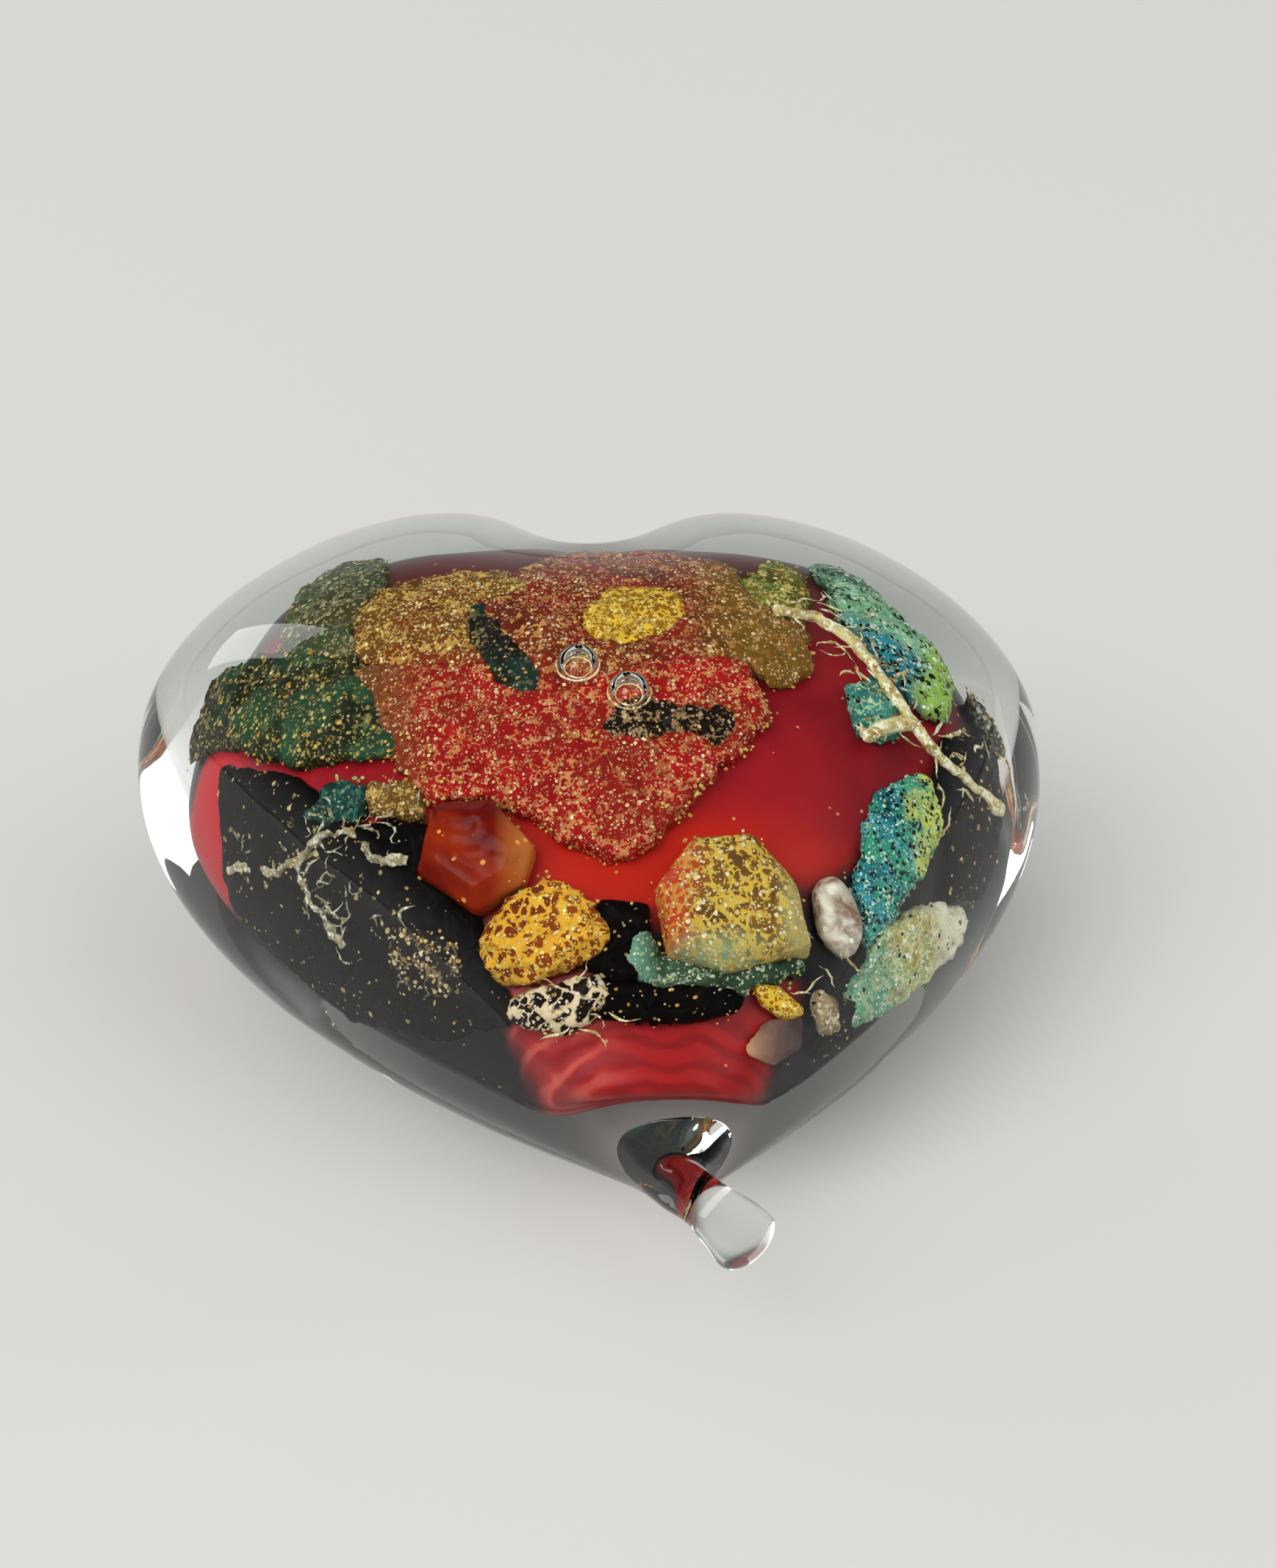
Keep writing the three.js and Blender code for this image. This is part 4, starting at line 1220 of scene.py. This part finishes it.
@dataclass
class LaidPieces:
    """All that lies on the core, each shaped from its own solid, sizes in millimetres."""

    core: Piece
    grain_size: float = 0.13
    grain_sizes: Span = (0.5, 1.7)
    grain_lengths: Span = (0.7, 1.6)
    grain_flatness: float = 0.6
    grain_spread: float = 0.35
    rim_share: float = 0.55
    rim_tilt: float = 0.1
    top_tilt: float = 0.7
    seed: int = 7

    @staticmethod
    def copy_of(node: str) -> Piece:
        """Copies a node's solid into a new piece with its corners merged.

        Args:
            node: The node's name.

        Returns:
            The new piece.
        """
        piece = place_new(f"laid_{node}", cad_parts[node].data.copy())
        with edit_mode(piece):
            bpy.ops.mesh.remove_doubles(threshold=0.001 * MM)
        return piece

    @staticmethod
    def refine(piece: Piece, working: Working) -> None:
        """Gives a piece an even fine mesh, softens its corners as heat does, and swells it to its neighbours.

        Args:
            piece: The piece to refine.
            working: How the piece is worked.
        """
        remesh = piece.modifiers.new("Even", "REMESH")
        remesh.mode = "VOXEL"
        remesh.voxel_size = working.voxel * MM
        soften = piece.modifiers.new("Soften", "SMOOTH")
        soften.factor = 0.5
        soften.iterations = working.rounds
        grow = piece.modifiers.new("Grow", "DISPLACE")
        grow.strength = working.swell * MM
        grow.mid_level = 0.0
        apply_modifiers(piece)

    @staticmethod
    def settle(piece: Piece, facets: BVHTree, skin: BVHTree) -> None:
        """Moves a piece from the flat facets of the solid core to the smooth core, at the same height.

        Args:
            piece: The piece to move.
            facets: The solid core.
            skin: The smooth core.
        """
        for vertex in piece.data.vertices:
            place, normal, _, _ = facets.find_nearest(vertex.co)
            height = (vertex.co - place).dot(normal)
            foot, outward, _, _ = skin.find_nearest(vertex.co)
            vertex.co = foot + outward * height

    def build(self, inclusion: Inclusion, facets: BVHTree, skin: BVHTree) -> Piece:
        """Shapes one inclusion by the way it was laid.

        Args:
            inclusion: The inclusion to make.
            facets: The solid core.
            skin: The smooth core.

        Returns:
            The finished shape.
        """
        piece = self.copy_of(inclusion.node)
        working = inclusion.shape.value
        self.refine(piece, working)
        for relief in working.reliefs:
            relief.apply(piece)
        if working.settled:
            self.settle(piece, facets, skin)
        select_only(piece)
        bpy.ops.object.shade_smooth()
        return piece

    def scatter(self, name: str, hosts: list[tuple[Piece, int]], skin: BVHTree) -> Piece:
        """Strews loose metal grains over the pieces that carry them, thickest along their broken edges.

        Args:
            name: The name of the piece that all the grains make up.
            hosts: Pieces with the number of grains on each.
            skin: The smooth core, which says which way is up.

        Returns:
            All the grains as one piece.
        """
        draw = np.random.default_rng(self.seed)
        ball = bpy.ops.mesh.primitive_ico_sphere_add
        model = add_primitive("grain_model", ball, subdivisions=1, radius=1.0)
        corners = np.array([vertex.co for vertex in model.data.vertices])
        sides = np.array([polygon.vertices for polygon in model.data.polygons])
        bpy.data.objects.remove(model)
        points, faces = [], []
        for host, count in hosts:
            tilts = [vertex.normal.dot(skin.find_nearest(vertex.co)[1]) for vertex in host.data.vertices]
            top = [index for index, tilt in enumerate(tilts) if tilt > self.top_tilt]
            rim = [index for index, tilt in enumerate(tilts) if self.rim_tilt < tilt <= self.top_tilt] or top
            for _ in range(count):
                pool = rim if draw.uniform() < self.rim_share else top
                vertex = host.data.vertices[pool[draw.integers(0, len(pool))]]
                up = skin.find_nearest(vertex.co)[1].to_track_quat("Z", "Y").to_matrix()
                turn = up @ Matrix.Rotation(draw.uniform(0, math.tau), 3, "Z")
                size = self.grain_size * MM * draw.uniform(*self.grain_sizes)
                stretch = size * np.array([draw.uniform(*self.grain_lengths), 1.0, self.grain_flatness])
                stray = turn @ Vector((*draw.normal(0, self.grain_spread * MM, 2), 0))
                shift = np.array(vertex.co) + np.array(stray)
                faces.append(sides + len(points) * len(corners))
                points.append((corners * stretch) @ np.array(turn).T + shift)
        mesh = bpy.data.meshes.new(name)
        mesh.from_pydata(np.concatenate(points).tolist(), [], np.concatenate(faces).tolist())
        return place_new(name, mesh)

    def lay(self) -> None:
        """Makes and dresses every inclusion in its order, then the grains."""
        facets, skin = surface_of(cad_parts["ruby_core"].data), surface_of(self.core.data)
        finishes: dict[str, Material] = {}
        hosts: dict[FoilFinish, list[tuple[Piece, int]]] = {GRAIN_GOLD: [], GRAIN_GREEN: []}
        for inclusion in INCLUSIONS:
            piece = self.build(inclusion, facets, skin)
            if inclusion.finish.name not in finishes:
                finishes[inclusion.finish.name] = inclusion.finish.material()
            hand_over(piece, inclusion.slot, finishes[inclusion.finish.name], inclusion.node)
            if inclusion.grains:
                hosts[inclusion.grain_finish].append((piece, inclusion.grains))
        for name, slot, finish in (
            ("loose_gold_grains", "gold_foil", GRAIN_GOLD), ("loose_green_grains", "lime_foil", GRAIN_GREEN),
        ):
            hand_over(self.scatter(name, hosts[finish], skin), slot, finish.material())


@dataclass(frozen=True)
class StrandField:
    """A place on the core with fine strands: middle and spread, as station and degrees, and their count."""

    along: float
    around: float
    along_spread: float
    around_spread: float
    count: int


@dataclass
class LaceStrands:
    """Fine drawn strands that stray from the threads and clusters, sizes in millimetres."""

    name: str
    finish: FoilFinish
    fields: tuple[StrandField, ...]
    form: HeartForm = CORE_FORM
    lift: float = 1.75
    radius: Span = (0.08, 0.2)
    unevenness: Span = (0.7, 1.3)
    end_share: float = 0.05
    step: float = 0.45
    steps: tuple[int, int] = (4, 12)
    wander: float = 0.45
    sides: int = 6
    seed: int = 11

    def route(self, draw: np.random.Generator, field: StrandField) -> Ring:
        """Draws one wandering line over the core from a random start in the field.

        Args:
            draw: The source of random numbers.
            field: The field that the line starts in.

        Returns:
            The line's points.
        """
        probe = self.form.probe
        along = draw.normal(field.along, field.along_spread)
        angle = math.radians(draw.normal(field.around, field.around_spread))
        heading = draw.uniform(0, math.tau)
        points = []
        for _ in range(draw.integers(*self.steps)):
            place, up = self.form.point(along, angle), self.form.outward(along, angle)
            points.append(place + up * self.lift * MM)
            onward = (self.form.point(along + probe, angle) - place).length / probe
            around = (self.form.point(along, angle + probe) - place).length / probe
            heading += draw.normal(0, self.wander)
            along += math.cos(heading) * self.step * MM / onward
            angle += math.sin(heading) * self.step * MM / around
        return points

    def build(self) -> Piece:
        """Makes all the strands of the fields as one piece, each pointed at both ends.

        Returns:
            The strands.
        """
        draw = np.random.default_rng(self.seed)
        sides, points, faces = self.sides, [], []
        for field in (field for field in self.fields for _ in range(field.count)):
            route = self.route(draw, field)
            last = len(route) - 1
            thick = draw.uniform(*self.radius) * MM
            first = len(points)
            for index, place in enumerate(route):
                onward = (route[min(index + 1, last)] - route[max(index - 1, 0)]).normalized()
                size = thick * max(self.end_share, math.sin(math.pi * index / last))
                size *= draw.uniform(*self.unevenness)
                points += ring_round(place, onward, onward.orthogonal().normalized(), size, sides)
            for start in range(first, first + last * sides, sides):
                for side in range(sides):
                    here, there = start + side, start + (side + 1) % sides
                    faces.append((here, there, there + sides, here + sides))
            faces.append(tuple(reversed(range(first, first + sides))))
            faces.append(tuple(range(len(points) - sides, len(points))))
        mesh = bpy.data.meshes.new(self.name)
        mesh.from_pydata(points, [], faces)
        lace = place_new(self.name, mesh)
        select_only(lace)
        bpy.ops.object.shade_smooth()
        return lace

    def dress(self, lace: Piece) -> None:
        """Gives the strands their film."""
        hand_over(lace, "cream_foil", self.finish.material())


STRANDS = (
    LaceStrands("lace_strands_left", WISP, (
        StrandField(0.58, 150.0, 0.03, 7.0, 34),
        StrandField(0.63, 158.0, 0.03, 5.0, 20),
        StrandField(0.6, 132.0, 0.02, 4.0, 12),
        StrandField(0.7, 147.0, 0.02, 5.0, 16),
    )),
    LaceStrands("lace_strands_right", LACE, (
        StrandField(0.43, 43.0, 0.03, 5.0, 26),
        StrandField(0.48, 22.0, 0.02, 8.0, 18),
        StrandField(0.34, 45.0, 0.02, 5.0, 16),
        StrandField(0.79, 118.0, 0.015, 7.0, 16),
        StrandField(0.7, 30.0, 0.02, 5.0, 10),
    ), seed=12),
)


@dataclass
class TrappedBubbles:
    """Round air bubbles over the core, each ringed by pale film as a painted highlight of its bright rim,
    sizes in millimetres.
    """

    form: HeartForm = CORE_FORM
    places: tuple[Span, ...] = ((0.445, 91.0), (0.477, 85.0))
    radius: float = 2.0
    rise: float = 2.3
    flatten: float = 0.8
    # The collar is a painted highlight: a pale rough ring of film that stands in for a bubble's bright rim
    rim_highlight_radius: float = 1.95
    rim_highlight_thick: float = 0.15
    rim_highlight_drop: float = 0.2
    rim_highlight_relief: Relief = Relief(Pattern.CLOUDS, 0.7, 0.3)

    def bubble(self, name: str, seat: Matrix) -> Piece:
        """Makes a bubble as a ball pressed flat against the foil.

        Args:
            name: The bubble's name.
            seat: The bubble's place and turn.

        Returns:
            The bubble.
        """
        sphere = bpy.ops.mesh.primitive_uv_sphere_add
        bubble = add_primitive(name, sphere, segments=32, ring_count=20, radius=self.radius * MM)
        with edit_mode(bubble):
            bpy.ops.transform.resize(value=(1.0, 1.0, self.flatten))
        bubble.data.transform(seat)
        bpy.ops.object.shade_smooth()
        return bubble

    def rim_highlight(self, name: str, seat: Matrix) -> Piece:
        """Makes the rough pale ring round a bubble, a painted highlight that stands in for the bubble's
        bright rim.

        Args:
            name: The ring's name.
            seat: The bubble's place and turn.

        Returns:
            The ring.
        """
        rim_highlight = add_primitive(
            name, bpy.ops.mesh.primitive_torus_add, major_segments=48, minor_segments=8,
            major_radius=self.rim_highlight_radius * MM, minor_radius=self.rim_highlight_thick * MM,
        )
        rim_highlight.data.transform(seat @ Matrix.Translation((0, 0, -self.rim_highlight_drop * MM)))
        self.rim_highlight_relief.apply(rim_highlight)
        bpy.ops.object.shade_smooth()
        return rim_highlight

    def build(self) -> None:
        """Makes and dresses each bubble and the pale ring of its painted rim highlight."""
        # dust is the pale film of the painted rim highlight round each bubble
        air, dust = BubbleAir().material(), LACE.material()
        for number, (along, around) in enumerate(self.places, start=1):
            angle = math.radians(around)
            up = self.form.outward(along, angle)
            centre = self.form.point(along, angle) + up * self.rise * MM
            seat = Matrix.Translation(centre) @ up.to_track_quat("Z", "Y").to_matrix().to_4x4()
            hand_over(self.bubble(f"air_bubble_{number}", seat), "clear_glass", air)
            hand_over(self.rim_highlight(f"dust_collar_{number}", seat), "cream_foil", dust)


class Side(Enum):
    """Where a lamp stands, as degrees from the back with the right positive, and degrees of height."""

    KEY = (-128.0, 48.0)
    FILL = (112.0, 38.0)
    WINDOW = (-42.0, 22.0)
    RIM = (62.0, 14.0)


@dataclass(frozen=True)
class Lamp:
    """A soft rectangular lamp that faces the heart, in metres and watts, mirrored in the glass or not."""

    side: Side
    width: float
    height: float
    distance: float
    power: float
    mirrored: bool = True


@dataclass
class Studio:
    """Pale floor, soft lamps, plain surroundings and the camera."""

    floor_colour: str = "#CFCDC9"
    floor_radius: float = 6.0
    floor_lift_mm: float = 0.02
    mottle_mm: float = 100 / 3
    card_rough: Span = (0.75, 0.9)
    card_shine: float = 0.2
    sky_colour: str = "#E2E3E4"
    sky_light: float = 0.5
    sky_shown: float = 0.7
    ceiling_shown: float = 0.05
    ceiling_start: float = 0.3
    focal_pixels: float = 8635.0
    sensor_mm: float = 36.0
    clip: Span = (0.01, 50.0)
    camera_height: float = 36.0
    camera_distance: float = 0.62
    aim: tuple[float, float, float] = (0.0, 0.0, 0.02)
    aim_pixel: Span = (800.6, 1143.5)
    lamps: tuple[Lamp, ...] = (
        Lamp(Side.KEY, 1.2, 1.2, 1.6, 22.0, mirrored=False),
        Lamp(Side.FILL, 1.2, 1.2, 1.6, 8.0, mirrored=False),
        Lamp(Side.WINDOW, 0.3, 0.4, 0.9, 1.0),
        Lamp(Side.RIM, 0.12, 0.4, 0.9, 1.2, mirrored=False),
    )

    def floor(self) -> None:
        """Lays a wide floor of matt card at the foot, faintly mottled so that it shows no glare.

        It lies a hair above the foot's plane, since of two faces in one plane either may be seen.
        """
        ground = add_primitive(
            "studio_floor", bpy.ops.mesh.primitive_circle_add, vertices=96, radius=self.floor_radius,
            fill_type="NGON", location=(0, 0, self.floor_lift_mm * MM),
        )
        material, add = new_material("matt_card")
        place = add("TexCoord")["Object"]
        mottle = add("TexNoise", {"Vector": place, "Scale": per_metre(self.mottle_mm), "Detail": 2.0})[0]
        low, high = self.card_rough
        rough = add("MapRange", {"Value": mottle, "To Min": low, "To Max": high})[0]
        card = add("BsdfPrincipled", {
            "Base Color": linear(self.floor_colour), "Roughness": rough,
            "Specular IOR Level": self.card_shine,
        })[0]
        add("OutputMaterial", {"Surface": card})
        ground.data.materials.append(material)

    def sky(self) -> None:
        """Makes soft light all round, and for camera and glass a pale backdrop under a dark ceiling."""
        world = bpy.data.worlds.new("studio")
        world.use_nodes = True
        bpy.context.scene.world = world
        world.node_tree.nodes.clear()
        add = partial(add_node, world.node_tree)
        path = add("LightPath")
        seen = path["Is Camera Ray"]
        for ray in ("Is Glossy Ray", "Is Transmission Ray"):
            seen = add("Math", {0: seen, 1: path[ray]}, operation="MAXIMUM")[0]
        height = add("SeparateXYZ", {0: add("TexCoord")["Generated"]})["Z"]
        backdrop = add("MapRange", {
            "Value": height, "From Min": 0.0, "From Max": self.ceiling_start, "To Min": self.sky_shown,
            "To Max": self.ceiling_shown,
        })[0]
        strength = add("Mix", {0: seen, 2: self.sky_light, 3: backdrop})[0]
        light = add("Background", {"Color": linear(self.sky_colour), "Strength": strength})[0]
        add("OutputWorld", {"Surface": light})

    def light(self) -> None:
        """Hangs the lamps round the heart, each turned to it."""
        for lamp in self.lamps:
            turn, lift = (math.radians(angle) for angle in lamp.side.value)
            away = Vector((math.sin(turn) * math.cos(lift), math.cos(turn) * math.cos(lift), math.sin(lift)))
            data = bpy.data.lights.new(f"{lamp.side.name.lower()}_lamp", "AREA")
            data.shape = "RECTANGLE"
            data.size, data.size_y = lamp.width, lamp.height
            data.energy = lamp.power
            holder = place_new(data.name, data)
            holder.location = Vector(self.aim) + away * lamp.distance
            holder.rotation_mode = "QUATERNION"
            holder.rotation_quaternion = (-away).to_track_quat("-Z", "Y")
            holder.visible_glossy = lamp.mirrored

    def camera(self) -> None:
        """Sets the camera at the photograph's angle, with the heart at its place in the frame."""
        lift = math.radians(self.camera_height)
        back = Vector((0, -math.cos(lift), math.sin(lift)))
        right = Vector((1, 0, 0))
        up = back.cross(right)
        per_pixel = self.camera_distance / self.focal_pixels
        offset = right * (PHOTO_WIDTH / 2 - self.aim_pixel[0]) * per_pixel
        offset -= up * (PHOTO_HEIGHT / 2 - self.aim_pixel[1]) * per_pixel
        data = bpy.data.cameras.new("photo_camera")
        data.sensor_fit = "AUTO"
        data.sensor_width = self.sensor_mm
        data.lens = data.sensor_width * self.focal_pixels / PHOTO_HEIGHT
        data.clip_start, data.clip_end = self.clip
        holder = place_new("photo_camera", data)
        holder.location = Vector(self.aim) + back * self.camera_distance + offset
        holder.rotation_mode = "QUATERNION"
        holder.rotation_quaternion = (-back).to_track_quat("-Z", "Y")
        bpy.context.scene.camera = holder

    def build(self) -> None:
        """Sets up the whole studio."""
        self.floor()
        self.sky()
        self.light()
        self.camera()
        bpy.context.scene.view_settings.view_transform = "Standard"


def main() -> None:
    """Builds the heart from the inside out, then the studio."""
    logging.basicConfig(level=logging.INFO, format="%(message)s")
    ruby = RubyCore()
    core = ruby.build()
    ruby.dress(core)
    LaidPieces(core).lay()
    for lace in STRANDS:
        lace.dress(lace.build())
    TrappedBubbles().build()
    glass = ClearCasing()
    glass.dress(glass.build())
    Studio().build()


if __name__ == "__main__":
    main()
